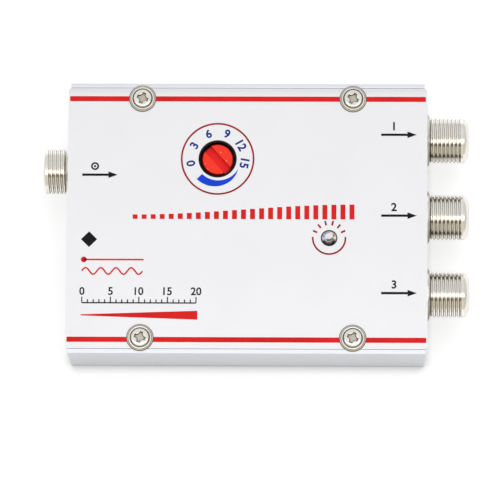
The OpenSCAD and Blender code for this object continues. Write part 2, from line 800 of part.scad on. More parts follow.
module insulating_sheet() {
    color("tan") translate([0, 0, floor_t]) linear_extrude(sheet_t)
        square([2 * (panel_inner_x - panel_gap), inside_w - 2 * sheet_margin], center = true);
}

// Carries a part to its place on the board's top face
module on_board(place) {
    translate([place[0], place[1], board_top]) children();
}

// The power supply parts

module transformer_core() {
    color("darkslategray") on_board(transformer_at) translate([0, 0, bobbin_rise])
        linear_extrude(core_h) difference() {
            square([core_l, core_w], center = true);
            for (side = [-1, 1]) translate([0, side * (core_middle_w + window_w) / 2])
                square([window_l, window_w], center = true);
        }
}

// A rectangle in Y and Z round the core's middle leg, grown by a margin on each side
module leg_section(grow_y, grow_z) {
    translate([0, leg_z]) square([core_middle_w + 2 * grow_y, core_h + 2 * grow_z], center = true);
}

module transformer_bobbin() {
    tube = bobbin_gap + bobbin_t;
    spool_l = window_l - 2 * bobbin_gap;
    color("peru") on_board(transformer_at) difference() {
        union() {
            along_x(spool_l) leg_section(tube, tube);
            for (side = [-1, 1]) translate([side * (spool_l - bobbin_t) / 2, 0, 0])
                along_x(bobbin_t) leg_section(window_w - bobbin_gap, bobbin_rise);
        }
        along_x(core_l) leg_section(bobbin_gap, bobbin_gap);
    }
}

module transformer_winding() {
    tube = 2 * bobbin_gap + bobbin_t;
    coil_l = window_l - 4 * bobbin_gap - 2 * bobbin_t;
    color("chocolate") on_board(transformer_at) along_x(coil_l) difference() {
        leg_section(window_w - 3 * bobbin_gap, bobbin_rise - 3 * bobbin_gap);
        leg_section(tube, tube);
    }
}

// A can capacitor lying on the board along X, with a rolled groove near its sealed end
module can_capacitor() {
    r = can_d / 2;
    end_x = can_l / 2;
    dent = can_groove_depth;
    groove_x = can_groove_at - end_x;
    color("midnightblue") translate([0, 0, r]) {
        turn_about_x() polygon([
            [0, -end_x], [r - dent, -end_x], [r, dent - end_x], [r, groove_x - dent], [r - dent, groove_x],
            [r, groove_x + dent], [r, end_x - dent], [r - dent, end_x], [0, end_x]
        ]);
        for (side = [-1, 1]) translate([-end_x - lead_reach, side * can_d / 5, 0]) {
            rod_x(0, 2 * lead_reach, lead_d);
            sphere(d = lead_d);
            translate([0, 0, -r]) cylinder(h = r, d = lead_d);
        }
    }
}

module bulk_capacitor() {
    on_board(bulk_can_at) can_capacitor();
}

module output_capacitor() {
    on_board(output_can_at) rotate(90) can_capacitor();
}

// A moulded block on two rows of flat feet, which stand on the board
module footed_block(l, w, h, feet, foot_pitch) {
    foot_w = 0.5;
    foot_l = 0.7;
    foot_t = 0.25;
    standoff = 0.15;
    edge_r = 0.2;
    color("black") {
        translate([0, 0, standoff]) linear_extrude(h) round_rect(l, w, edge_r);
        for (side = [-1, 1], i = [0:feet - 1])
            translate([(i - (feet - 1) / 2) * foot_pitch, side * w / 2, foot_t / 2])
                cube([foot_w, foot_l, foot_t], center = true);
    }
}

module bridge_rectifier() {
    on_board(bridge_at) footed_block(bridge_l, bridge_w, bridge_h, feet = 2, foot_pitch = 2.54);
}

module converter_chip() {
    on_board(chip_at) footed_block(chip_l, chip_w, chip_h, feet = 4, foot_pitch = 1.27);
}

// A round body held over the board by a lead bent down at each end
module axial_part(body_d, body_l) {
    axis_z = body_d / 2 + lead_lift;
    end_x = body_l / 2 + lead_reach;
    translate([0, 0, axis_z]) {
        rod_x(-body_l / 2, body_l / 2, body_d);
        rod_x(-end_x, end_x, lead_d);
        for (side = [-1, 1]) translate([side * end_x, 0, 0]) {
            sphere(d = lead_d);
            translate([0, 0, -axis_z]) cylinder(h = axis_z, d = lead_d);
        }
    }
}

module fuse_resistor() {
    color("seagreen") on_board(fuse_at) axial_part(fuse_d, fuse_l);
}

module output_diode() {
    color("black") on_board(diode_at) axial_part(diode_d, diode_l);
}

// The signal parts

// A low moulding over a wide middle tab and two side legs
module amplifier_transistor() {
    tab_w = transistor_l / 3;
    leg_w = transistor_l / 9;
    tab_reach = 1.7 * transistor_w;
    edge_r = 0.2;
    color("black") on_board(transistor_at) {
        translate([0, 0, transistor_tab_t]) linear_extrude(transistor_h)
            round_rect(transistor_l, transistor_w, edge_r);
        linear_extrude(transistor_tab_t) {
            square([tab_w, tab_reach], center = true);
            for (side = [-1, 1]) translate([side * tab_w, -tab_reach / 4])
                square([leg_w, tab_reach / 2], center = true);
        }
    }
}

// Ferrite blocks with two holes along X
module splitter_cores() {
    color("dimgray") for (p = splitter_places) on_board(p) difference() {
        along_x(splitter_l) translate([0, splitter_h / 2])
            round_rect(splitter_w, splitter_h, splitter_h / 4);
        for (side = [-1, 1]) translate([0, side * splitter_hole_pitch / 2, splitter_h / 2])
            rod_x(-splitter_l, splitter_l, splitter_hole_d);
    }
}

// A closed loop of wire through both holes of each core, resting on their lower walls
module splitter_windings() {
    wire_z = (splitter_h - splitter_hole_d + splitter_wire_d) / 2 + close_gap;
    bend_x = splitter_l / 2 + close_gap;
    color("orangered") for (p = splitter_places) on_board(p) translate([0, 0, wire_z])
        for (side = [-1, 1]) {
            translate([0, side * splitter_hole_pitch / 2, 0]) rod_x(-bend_x, bend_x, splitter_wire_d);
            translate([side * bend_x, 0, 0]) rotate(-side * 90) rotate_extrude(angle = 180)
                translate([splitter_hole_pitch / 2, 0]) circle(d = splitter_wire_d);
        }
}

module signal_choke() {
    color("olivedrab") on_board(choke_at) axial_part(choke_d, choke_l);
}

// A disc standing on two leads
module disc_capacitor() {
    middle_z = lead_reach + disc_d / 2;
    translate([0, disc_t / 2, middle_z]) rotate([90, 0, 0]) cylinder(h = disc_t, d = disc_d);
    for (side = [-1, 1]) translate([side * disc_lead_pitch / 2, 0, 0]) cylinder(h = middle_z, d = lead_d);
}

module disc_capacitors() {
    color("sandybrown") for (p = disc_places) on_board(p) disc_capacitor();
}

module resistors() {
    color("burlywood") for (p = resistor_places) on_board(p) axial_part(resistor_d, resistor_l);
}

base_channel();
cover_plate();
cover_screws();
input_end_panel();
output_end_panel();
at_panel(-1, input_y) port_shell(input_thread_l);  // input_port_shell
at_panel(-1, input_y) port_nut();  // input_port_nut
at_panel(-1, input_y) port_insulator(input_thread_l);  // input_port_insulator
at_panel(-1, input_y) port_contact(input_thread_l);  // input_port_contact
for (i = [0:len(output_places) - 1]) {
    name = str("output_", i + 1, "_port_");
    y = output_places[i];
    at_panel(1, y) port_shell(output_thread_l);
    at_panel(1, y) port_nut(nut_turns[i]);
    at_panel(1, y) port_insulator(output_thread_l);
    at_panel(1, y) port_contact(output_thread_l);
}
mains_inlet_bush();
gain_control_housing();
gain_control_rotor();
gain_control_terminals();
power_light_lens();
power_light_leads();
circuit_board();
insulating_sheet();
transformer_core();
transformer_bobbin();
transformer_winding();
bulk_capacitor();
output_capacitor();
bridge_rectifier();
converter_chip();
fuse_resistor();
output_diode();
amplifier_transistor();
splitter_cores();
splitter_windings();
signal_choke();
disc_capacitors();
resistors();
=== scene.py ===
import json
import math

import bmesh
import bpy
import numpy as np
from bpy.props import FloatProperty, FloatVectorProperty, PointerProperty
from mathutils import Matrix, Vector


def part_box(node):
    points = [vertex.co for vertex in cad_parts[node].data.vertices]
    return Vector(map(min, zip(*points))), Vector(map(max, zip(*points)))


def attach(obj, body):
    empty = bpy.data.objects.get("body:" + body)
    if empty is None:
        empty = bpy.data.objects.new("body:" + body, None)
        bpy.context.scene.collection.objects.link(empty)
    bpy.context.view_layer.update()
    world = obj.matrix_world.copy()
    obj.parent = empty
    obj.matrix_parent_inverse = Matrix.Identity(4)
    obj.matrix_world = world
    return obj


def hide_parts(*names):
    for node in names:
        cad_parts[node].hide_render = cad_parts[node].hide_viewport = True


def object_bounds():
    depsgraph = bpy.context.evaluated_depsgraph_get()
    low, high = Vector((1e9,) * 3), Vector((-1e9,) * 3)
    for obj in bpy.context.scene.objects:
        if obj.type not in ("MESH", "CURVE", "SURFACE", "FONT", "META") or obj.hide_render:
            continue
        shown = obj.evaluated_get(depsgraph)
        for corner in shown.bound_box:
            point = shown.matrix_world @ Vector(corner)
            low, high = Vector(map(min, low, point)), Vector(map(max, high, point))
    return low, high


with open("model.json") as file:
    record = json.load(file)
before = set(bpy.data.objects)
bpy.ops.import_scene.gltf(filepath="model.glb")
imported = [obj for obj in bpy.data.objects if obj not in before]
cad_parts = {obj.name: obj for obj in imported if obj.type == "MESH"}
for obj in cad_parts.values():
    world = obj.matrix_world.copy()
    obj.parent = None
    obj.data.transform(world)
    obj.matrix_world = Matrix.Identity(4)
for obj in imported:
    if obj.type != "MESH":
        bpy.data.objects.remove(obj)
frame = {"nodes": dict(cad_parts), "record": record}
CAD_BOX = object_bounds()

bl_info = {
    "name": "Television signal amplifier",
    "version": (1, 0, 0),
    "blender": (4, 5, 0),
    "location": "3D View > Sidebar > Amplifier",
    "description": "Threads, screws, printed cover, finishes and stage for a small signal amplifier",
    "category": "Object",
}

MM = 0.001
MERGE_DISTANCE = 1e-7
POINT_WIDTH = 1e-6
FULL_TURN = 2.0 * math.pi
BODY = "case"

# For each port: the side that it faces, the strength of the painted shade in its thread, and the strength of
# the painted reflections, dark patches high on the front, low on the front and on the back.
PORTS = {
    "input": (-1.0, 0.08, (0.65, 0.35, 0.15)),
    "output_1": (1.0, 0.12, (0.75, 0.8, 0.3)),
    "output_2": (1.0, 0.2, (0.7, 0.9, 0.7)),
    "output_3": (1.0, 0.12, (0.6, 0.3, 0.9)),
}
# Leans of a port's painted shade, painted reflections and highlight band, in radians from the top and
# positive to the front. A bell is given by its middle and its width.
FRONT_SPAN = (0.3, 0.4)
HIGHLIGHT_BAND_BELL = (0.22, 0.14)
PATCH_BELLS = ((0.40, 0.085), (1.05, 0.12), (-0.75, 0.12))
FLANK_BELLS = ((-1.4, 0.25), (1.75, 0.25))
# The most painted shade that plate takes.
DARKEST_PAINTED_SHADE = 0.95

# The side along X and along Y of each cover screw, and the turn of its cross recess in degrees.
SCREW_DRIVES = ((-1, -1, 72.0), (1, -1, 66.0), (-1, 1, 70.0), (1, 1, 62.0))
SCREW_LINE = 25.7 * MM

# Where most of a noise lies, and how strong its finer layers are.
NOISE_LOW, NOISE_HIGH = 0.3, 0.7
NOISE_ROUGHNESS = 0.55
# How far the roughness of satin metal and of moulded stuff swings with its grain.
ROUGH_SWING, MOULDED_SWING = 0.06, 0.07

# The finish of each moulded or coated slot: its name, and its roughness, relief and gloss coat.
MOULDED_LOOKS = {
    "insulator_white": ("white_insulator", {"rough": 0.5}),
    "bush_rubber": ("bush_rubber", {"rough": 0.7, "relief": 0.3}),
    "sheet_card": ("insulating_card", {"rough": 0.8, "relief": 0.4}),
    "ferrite": ("ferrite", {"rough": 0.6, "relief": 0.4}),
    "bobbin_plastic": ("bobbin_plastic", {"rough": 0.5}),
    "can_blue": ("can_sleeve", {"rough": 0.3, "relief": 0.05, "coat": 0.5}),
    "mould_black": ("black_moulding", {"rough": 0.6, "relief": 0.25}),
    "fuse_green": ("fuse_coating", {"rough": 0.55}),
    "choke_olive": ("choke_coating", {"rough": 0.55}),
    "disc_tan": ("disc_coating", {"rough": 0.4, "relief": 0.2, "coat": 0.2}),
    "resistor_beige": ("resistor_coating", {"rough": 0.4, "coat": 0.3}),
}

COVER_LOW, COVER_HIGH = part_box("cover_plate")
COVER_TOP = COVER_HIGH.z
DIAL_LOW, DIAL_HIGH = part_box("gain_control_rotor")
DIAL_MIDDLE = (DIAL_LOW + DIAL_HIGH) / 2
LENS_LOW, LENS_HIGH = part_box("power_light_lens")
LENS_MIDDLE = (LENS_LOW + LENS_HIGH) / 2
SCREWS_LOW, SCREWS_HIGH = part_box("cover_screws")
SCREW_X = SCREWS_HIGH.x - (SCREWS_HIGH.y - SCREWS_LOW.y) / 2 + SCREW_LINE


def number(name, description, default, **kind):
    """A number property; kind holds its unit or subtype."""
    return FloatProperty(name=name, description=description, default=default, **kind)


def length(name, description, default_mm):
    """A distance property whose default is written in millimetres."""
    return number(name, description, default_mm * MM, unit="LENGTH", precision=5)


def point(name, description, default):
    """A property for a point in the shared frame."""
    return FloatVectorProperty(name=name, description=description, default=default, subtype="TRANSLATION")


def colour(name, description, default):
    """A linear colour property."""
    return FloatVectorProperty(name=name, description=description, default=default, subtype="COLOR",
                               size=3, min=0.0, max=1.0)


class PortSettings(bpy.types.PropertyGroup):
    """Sizes of the threaded port shells."""
    pitch: length("Thread pitch", "Distance from one thread crest to the next", 0.855)
    depth: length("Thread depth", "Depth of the groove between two crests", 0.32)
    crest_radius: length("Crest radius", "Radius over the thread's crests", 4.75)
    neck_radius: length("Neck radius", "Radius where the nut sits", 4.49)
    barrel_wall: length("Barrel wall", "Wall of the barrel inside the case", 0.6)
    flange_thickness: length("Flange thickness", "Thickness of the flange inside the panel", 1.2)
    rim_length: length("Rim length", "Length of the plain round rim at the mouth of an output", 1.3)
    input_rim: length("Input rim", "Length of the plain round rim at the mouth of the input", 0.55)
    rim_flat: length("Rim flat", "Width of the flat ring at the mouth", 0.15)
    wall_gap: length("Insulator gap", "Gap between the shell and its insulator", 0.05)
    undercut: length("Undercut", "Length of the plain groove between the nut and the thread", 0.32)


class ScrewSettings(bpy.types.PropertyGroup):
    """Sizes of the cover screws."""
    flange_radius: length("Flange radius", "Radius of the washer flange", 2.875)
    head_radius: length("Head radius", "Radius of the flat of the head", 1.85)
    head_height: length("Head height", "Height of the head over the cover", 0.85)
    shank_radius: length("Shank radius", "Radius over the screw's thread", 1.15)
    thread_pitch: length("Thread pitch", "Pitch of the self-tapping thread", 0.9)
    recess_reach: length("Recess reach", "Reach of each arm of the cross recess", 1.18)
    recess_arm: length("Recess arm", "Half width of each arm of the cross recess", 0.33)
    recess_depth: length("Recess depth", "Depth of the cross recess", 0.5)


class LightSettings(bpy.types.PropertyGroup):
    """Sizes of the power light."""
    lens_radius: length("Lens radius", "Radius of the lens and of its dome", 1.6)
    flange_thickness: length("Flange thickness", "Thickness of the lens's flange", 1.0)


class PrintSettings(bpy.types.PropertyGroup):
    """Sizes and colours of the print on the cover."""
    ink: length("Ink thickness", "Height of the ink over the cover", 0.02)
    border_width: length("Border width", "Width of the two long lines", 1.1)
    border_back: length("Back line", "Distance of the back line from the middle", 25.68)
    border_front: length("Front line", "Distance of the front line from the middle", 26.1)
    ring_radius: length("Ring radius", "Outer radius of the ring round the gain control", 7.78)
    ring_width: length("Ring width", "Width of the ring round the gain control", 0.38)
    arrow_width: length("Arrow width", "Width of an arrow's shaft", 0.5)
    arrow_length: length("Arrow length", "Length of an arrow", 7.5)
    head_length: length("Arrow head length", "Length of an arrow's head", 1.95)
    head_width: length("Arrow head width", "Width of an arrow's head", 1.4)
    figure_height: length("Figure height", "Height of the port figures", 1.8)
    red: colour("Red ink", "Colour of the red ink", (0.75, 0.014, 0.014))
    deep_red: colour("Deep red ink", "Colour of the ring and of the light's mark", (0.37, 0.014, 0.022))
    black: colour("Black ink", "Colour of the black ink", (0.006, 0.006, 0.008))
    blue: colour("Blue ink", "Colour of the blue ink", (0.006, 0.06, 0.70))
    navy: colour("Dark blue ink", "Colour of the dial figures", (0.01, 0.035, 0.27))


class FinishSettings(bpy.types.PropertyGroup):
    """Colours of the surfaces that show."""
    cover: colour("Cover", "Satin aluminium of the cover", (0.86, 0.86, 0.88))
    channel: colour("Channel", "Extruded aluminium of the channel", (0.90, 0.925, 0.975))
    nickel: colour("Nickel", "Plating of the ports and screws", (0.94, 0.915, 0.87))
    nut: colour("Nuts", "Duller plating of the port nuts", (0.95, 0.94, 0.92))
    rotor: colour("Rotor", "Red plastic of the gain control", (1.0, 0.043, 0.020))
    collar: colour("Collar", "Black plastic of the gain control", (0.004, 0.004, 0.004))


class StageSettings(bpy.types.PropertyGroup):
    """Floor, lights and camera."""
    floor_colour: colour("Floor", "Colour of the floor", (0.5, 0.5, 0.5))
    floor_size: number("Floor size", "Side of the floor", 6.0, unit="LENGTH")
    floor_lift: number("Floor lift", "Glow that carries the floor to white", 0.66)
    contact: length("Contact shadow", "Reach of the shadow at the object's foot", 2.0)
    sky: number("Sky", "Strength of the even light on the object", 0.58)
    backdrop: number("Backdrop", "Strength of what the camera and gloss see", 0.96)
    key: number("Key light", "Power of the large lamp behind and above", 3.7, subtype="POWER")
    fill: number("Fill light", "Power of the lamp in front", 0.95, subtype="POWER")
    camera_place: point("Camera", "Place of the camera", (0.01772, -0.1780, 0.8832))
    camera_target: point("Target", "Point that the camera looks at", (0.00067, -0.00692, 0.0165))
    camera_roll: number("Roll", "Turn of the camera about its own axis", math.radians(0.39), subtype="ANGLE")
    camera_lens: number("Lens", "Focal length in millimetres", 302.4)


def add_object(name, data):
    """Adds an object to the scene."""
    made = bpy.data.objects.new(name, data)
    bpy.context.scene.collection.objects.link(made)
    return made


def new_piece(mesh, material):
    """Adds a mesh to the scene as a piece of the same name that rides on the case."""
    piece = add_object(mesh.name, mesh)
    mesh.materials.append(material)
    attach(piece, BODY)
    return piece


def stand_in(mesh, finish, smooth_degrees, node):
    """Adds a mesh that replaces a solid. Edges that bend by less than an angle are shaded smooth."""
    piece = new_piece(mesh, bpy.data.materials[finish])
    mesh.shade_smooth()
    mesh.set_sharp_from_angle(angle=math.radians(smooth_degrees))
    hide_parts(node)


def closed_mesh(name, points, faces, grime=None):
    """A mesh from arrays of points and faces, with doubles merged and faces turned outwards. Painted shade
    is an optional share at each point, kept as an attribute, for points that have no doubles."""
    mesh = bpy.data.meshes.new(name)
    mesh.from_pydata(points.tolist(), [], faces)
    work = bmesh.new()
    work.from_mesh(mesh)
    bmesh.ops.remove_doubles(work, verts=work.verts, dist=MERGE_DISTANCE)
    bmesh.ops.recalc_face_normals(work, faces=work.faces)
    work.to_mesh(mesh)
    work.free()
    mesh.update()
    if grime is not None:
        if len(mesh.vertices) != grime.size:
            raise RuntimeError(f"{name} has doubled points")
        attribute = mesh.attributes.new("grime", "FLOAT", "POINT")
        attribute.data.foreach_set("value", grime.ravel().astype(np.float32))
    return mesh


def ring_faces(rows, columns, loop):
    """Quads between neighbouring rings of a grid. Each ring closes on itself; a loop joins last to first."""
    last = rows if loop else rows - 1
    row, column = np.meshgrid(np.arange(last), np.arange(columns), indexing="ij")
    next_row = (row + 1) % rows
    next_column = (column + 1) % columns
    quads = np.stack([row * columns + column, row * columns + next_column,
                      next_row * columns + next_column, next_row * columns + column], axis=-1)
    return quads.reshape(-1, 4).tolist()


def pole_to_pole_faces(rows, columns):
    """Quads between rings, and triangles from the first and the last ring to the two poles after them."""
    column = np.arange(columns)
    faces = ring_faces(rows, columns, loop=False)
    for first, pole in ((0, rows * columns), ((rows - 1) * columns, rows * columns + 1)):
        fan = [first + column, first + (column + 1) % columns, np.full(columns, pole)]
        faces += np.stack(fan, axis=-1).tolist()
    return faces


def joined(forms):
    """Points and faces of several forms as one; the corners of each count on from the forms before it."""
    starts = np.cumsum([0] + [len(points) for points, faces in forms]).tolist()
    faces = [[corner + start for corner in face]
             for start, (points, own_faces) in zip(starts, forms) for face in own_faces]
    return np.concatenate([points for points, own_faces in forms]), faces


def around(columns):
    """Even angles round a full turn."""
    return np.linspace(0.0, FULL_TURN, columns, endpoint=False)


def step(low, high, value):
    """Smooth step: 3 t squared less 2 t cubed, with t running from 0 at low to 1 at high."""
    t = np.clip((value - low) / (high - low), 0.0, 1.0)
    return t * t * (3.0 - 2.0 * t)


def bell(value, middle, width):
    """A bell curve: e to the power of minus the squared distance from the middle, in widths."""
    return np.exp(-((value - middle) / width) ** 2)


def helix_turns(along, pitch, turn):
    """Turns of a helix: the distance along its axis over the pitch, less the angle over one turn."""
    return along / pitch - turn / FULL_TURN


def thread_share(turns):
    """Way from a crest of the helix, 0, to the root of its groove, 1, at a number of turns."""
    return np.abs((turns + 0.5) % 1.0 - 0.5) * 2.0


def thread_grime(turns, cut, lean, port_shade, amounts):
    """Painted shade in a thread: a dark line on both sides of each groove, the inner side fainter, wider and
    stronger where the shell leans to the front, and giving way along the highlight band near the top to a
    lighter painted shade; painted reflections as dark patches high and low on the front and on the back; and
    painted shade on the flanks low on both sides. The lines are bell curves of the way from crest to root.
    The highlight band, the patches and the flanks are bell curves of the lean from the top."""
    inner_side, line_way, line_width, line_strength = 0.4, 0.55, 0.15, 0.5
    front_width, front_strength = 0.11, 0.4
    band_shade, band_groove_shade, flank_shade = 0.2, 0.1, 0.45
    share = cut * thread_share(turns)
    front = step(*FRONT_SPAN, lean)
    highlight_band = bell(lean, *HIGHLIGHT_BAND_BELL)
    side_strength = np.where(turns % 1.0 < 0.5, 1.0, inner_side)
    line = bell(share, line_way, line_width + front_width * front) * side_strength
    line = line * (1.0 - highlight_band) * (line_strength + port_shade + front_strength * front)
    band_shading = highlight_band * (band_shade + band_groove_shade * step(0.3, 0.7, share))
    patches = sum(amount * bell(lean, *patch) for amount, patch in zip(amounts, PATCH_BELLS))
    in_groove = step(0.25, 0.6, share)
    flanks = flank_shade * sum(bell(lean, *flank) for flank in FLANK_BELLS)
    return np.clip(line + band_shading + in_groove * patches + flanks, 0.0, DARKEST_PAINTED_SHADE)


def end_x(box, side):
    """The X at which a box ends on a side."""
    low, high = box
    return high.x if side > 0 else low.x


def port_shell(port, side, port_shade, patches, settings):
    """A turned shell about the port's axis. A closed profile of distance a and radius r is carried round
    the angle t; over the threaded length the radius loses the groove's depth times a smooth step of the way
    from crest to root, which leaves the root flat. The helix has a over the pitch less t over one turn as
    its turns, and fades out at the rim. The rim is a quarter of an ellipse from the crest to the mouth.
    Painted shade fills the undercut at the nut, and darkens the rim by a power of the sine of its quarter
    turn."""
    low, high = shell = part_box(f"{port}_port_shell")
    core_low, core_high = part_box(f"{port}_port_insulator")
    panel_low, panel_high = panel_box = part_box("input_end_panel" if side < 0 else "output_end_panel")
    face = end_x(panel_box, side)
    mouth = side * (end_x(shell, side) - face)
    back = side * (end_x(shell, -side) - face)
    nut = side * (end_x(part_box(f"{port}_port_nut"), side) - face)
    panel = panel_high.x - panel_low.x
    flange = (high.y - low.y) / 2
    bore = (core_high.z - core_low.z) / 2 + settings.wall_gap
    barrel = bore + settings.barrel_wall
    flange_back = -panel - settings.flange_thickness
    crest, neck = settings.crest_radius, settings.neck_radius
    rim_length = settings.rim_length if side > 0 else settings.input_rim
    rim_start = mouth - rim_length
    rim_drop = crest - bore - settings.rim_flat
    inside = np.array([[back, bore], [back, barrel], [flange_back, barrel], [flange_back, flange],
                       [-panel, flange], [-panel, neck], [nut, neck]])
    rows_per_pitch, rim_rows, columns = 30, 13, 160
    samples = int(rows_per_pitch * (rim_start - nut) / settings.pitch)
    thread = np.stack([np.linspace(nut, rim_start, samples), np.full(samples, crest)], axis=1)
    quarter = np.linspace(0.0, np.pi / 2, rim_rows + 1)[1:]
    rim = np.stack([rim_start + rim_length * np.sin(quarter),
                    crest - rim_drop * (1.0 - np.cos(quarter))], axis=1)
    profile = np.concatenate([inside, thread, rim, np.array([[mouth - settings.rim_flat, bore]])])
    turn = around(columns)
    along = profile[:, :1]
    threaded = slice(len(inside), len(inside) + samples)
    cut, undercut, rim_painted_shade = np.zeros((3, len(profile), 1))
    fade_start = rim_start - 0.8 * settings.pitch
    undercut_end, undercut_floor = nut + settings.undercut, nut + 0.6 * settings.undercut
    # Painted shade on the rim, growing towards the mouth.
    rim_shade, mouth_shade = 0.12, 0.3
    cut[threaded] = 1.0 - step(fade_start, rim_start, along[threaded])
    undercut[threaded] = step(undercut_end, undercut_floor, along[threaded])
    rim_painted_shade[threaded.stop:-1, 0] = rim_shade + mouth_shade * np.sin(quarter) ** 8
    turns = helix_turns(along, settings.pitch, turn)
    flank_top, flank_foot = 0.4, 0.7
    groove = step(flank_top, flank_foot, cut * thread_share(turns))
    radius = profile[:, 1:] - settings.depth * np.maximum(groove, undercut)
    first, second = radius * np.cos(turn), radius * np.sin(turn)
    across, up = (first, second) if side > 0 else (second, first)
    lean = np.arctan2(-across, up)
    # Painted shade: the thread's lines and patches, the filled undercut and the darkened rim.
    grime = np.maximum(thread_grime(turns, cut, lean, port_shade, patches), DARKEST_PAINTED_SHADE * undercut + rim_painted_shade)
    middle = (low + high) / 2
    x = face + side * np.broadcast_to(along, radius.shape)
    points = np.stack([x, middle.y + across, middle.z + up], axis=-1)
    faces = ring_faces(len(profile), columns, loop=True)
    return closed_mesh(f"{port}_port_thread", points.reshape(-1, 3), faces, grime)


def cross_depth(x, y, settings):
    """Share of the cross recess's depth at a point: two bars of the given reach and half width, joined by a
    smooth minimum of their distances so that the corners between the arms are round."""
    blend, wall_top, wall_foot = 0.8 * MM, 0.06 * MM, -0.13 * MM
    first = np.maximum(np.abs(x) - settings.recess_reach, np.abs(y) - settings.recess_arm)
    second = np.maximum(np.abs(y) - settings.recess_reach, np.abs(x) - settings.recess_arm)
    overlap = np.maximum(blend - np.abs(first - second), 0.0) / blend
    distance = np.minimum(first, second) - 0.25 * blend * overlap ** 2
    return step(wall_top, wall_foot, distance)


def screw_points(settings, drive_turn, shank_length, columns):
    """Rings of one screw about its own axis: a coned washer flange, a ring, a groove and a low head whose
    height loses a cross recess, then a tapering shank with a helical ridge. The height over the cover runs
    straight between the knots of a profile. Also gives the two poles and the painted shade on the rings."""
    head, rim, flat = settings.head_height, settings.flange_radius, settings.head_radius
    reach = settings.recess_reach
    past_flat = np.array([0.0, 0.05, 0.11, 0.19, 0.25, 0.30, 0.42, 0.56, 0.64, 0.70]) * MM
    within_flat = np.array([0.0, 0.7, 0.87, 0.95]) * flat
    knots_r = np.concatenate([within_flat, flat + past_flat, [rim - 0.08 * MM, rim]])
    knots_z = head * np.array([1.0, 0.99, 0.95, 0.88, 0.74, 0.5, 0.38, 0.36, 0.43, 0.53, 0.545, 0.53, 0.44,
                               0.41, 0.22, 0.12])
    recess_rings, edge_rings = np.linspace(0.04, 0.6, 40) * flat, np.linspace(0.62 * flat, rim, 56)
    rings = np.concatenate([recess_rings, edge_rings])[:, None]
    turn = around(columns)
    recess = cross_depth(rings * np.cos(turn - drive_turn), rings * np.sin(turn - drive_turn), settings)
    top = np.interp(rings, knots_r, knots_z) - settings.recess_depth * recess
    fade, line_width = 0.1 * MM, 0.08 * MM
    groove_start, groove_end = flat + 0.08 * MM, flat + 0.2 * MM
    cone_start, edge_start = flat + 0.65 * MM, rim - 0.12 * MM
    # Painted shade in the groove, as lines on the cone and at the flange's edge, and on the walls of the
    # cross recess; a tan painted reflection on the recess floor, darker towards the arms' ends.
    groove_shade, cone_shade, recess_floor_shade, arm_end_shade = 0.85, 0.9, 0.35, 0.4
    groove = step(groove_start - fade, groove_start, rings) * step(groove_end + fade, groove_end, rings)
    cone_line = bell(rings, cone_start, line_width)
    edge_line = step(edge_start - fade, edge_start, rings)
    recess_wall = 4.0 * recess * (1.0 - recess)
    arm_end = step(0.45 * reach, 0.9 * reach, rings)
    turned_shade = np.maximum(groove_shade * groove, cone_shade * cone_line + DARKEST_PAINTED_SHADE * edge_line)
    recess_shade = np.maximum(DARKEST_PAINTED_SHADE * recess_wall, recess * (recess_floor_shade + arm_end_shade * arm_end))
    head_shade = np.maximum(turned_shade, recess_shade)
    shank_rows, taper_start, tip_loss, ridge_depth = 40, -0.75, 0.5, 0.17
    shank_z = np.linspace(0.0, -shank_length, shank_rows)[:, None]
    taper = 1.0 - tip_loss * step(taper_start, -1.0, shank_z / shank_length)
    ridge = ridge_depth * thread_share(helix_turns(shank_z, settings.thread_pitch, turn)) ** 2
    shank_radius = settings.shank_radius * taper * (1.0 - ridge)
    radius = np.concatenate([np.broadcast_to(rings, top.shape), np.full((1, columns), rim), shank_radius])
    height = np.concatenate([top, np.zeros((1, columns)), np.broadcast_to(shank_z, shank_radius.shape)])
    points = np.stack([radius * np.cos(turn), radius * np.sin(turn), height], axis=-1)
    poles = np.array([[0.0, 0.0, head - settings.recess_depth], [0.0, 0.0, -shank_length]])
    return points, poles, np.concatenate([head_shade, np.zeros((len(shank_z) + 1, columns))])


def screws_mesh(settings):
    """Four screws in one mesh, at the corners of the box that the screws' solids fill."""
    columns = 120
    screws, painted_shades = [], []
    for side_x, side_y, drive in SCREW_DRIVES:
        rings, poles, grime = screw_points(settings, math.radians(drive), COVER_TOP - SCREWS_LOW.z, columns)
        place = np.array([side_x * SCREW_X, side_y * SCREW_LINE, COVER_TOP])
        points = np.concatenate([rings.reshape(-1, 3), poles]) + place
        screws.append((points, pole_to_pole_faces(len(rings), columns)))
        painted_shades.append(np.concatenate([grime.ravel(), np.zeros(len(poles))]))
    return closed_mesh("cover_screws_turned", *joined(screws), np.concatenate(painted_shades))


def lens_mesh(settings):
    """A flanged stem under a half-sphere dome: a profile of radius and height carried round the axis."""
    radius, columns, dome_rows, last_rise = settings.lens_radius, 96, 40, 0.49 * np.pi
    flange = (LENS_HIGH.x - LENS_LOW.x) / 2
    step_z = LENS_LOW.z + settings.flange_thickness
    rise = np.linspace(0.0, last_rise, dome_rows)
    base = np.array([[flange, LENS_LOW.z], [flange, step_z], [radius, step_z]])
    dome = np.stack([radius * np.cos(rise), LENS_HIGH.z - radius + radius * np.sin(rise)], axis=1)
    profile = np.concatenate([base, dome])
    turn = around(columns)
    x, y = LENS_MIDDLE.xy
    rings, heights = profile[:, :1], np.broadcast_to(profile[:, 1:], (len(profile), columns))
    points = np.stack([x + rings * np.cos(turn), y + rings * np.sin(turn), heights], axis=-1)
    poles = np.array([[x, y, LENS_LOW.z], [x, y, LENS_HIGH.z]])
    faces = pole_to_pole_faces(len(profile), columns)
    return closed_mesh("power_light_dome", np.concatenate([points.reshape(-1, 3), poles]), faces)


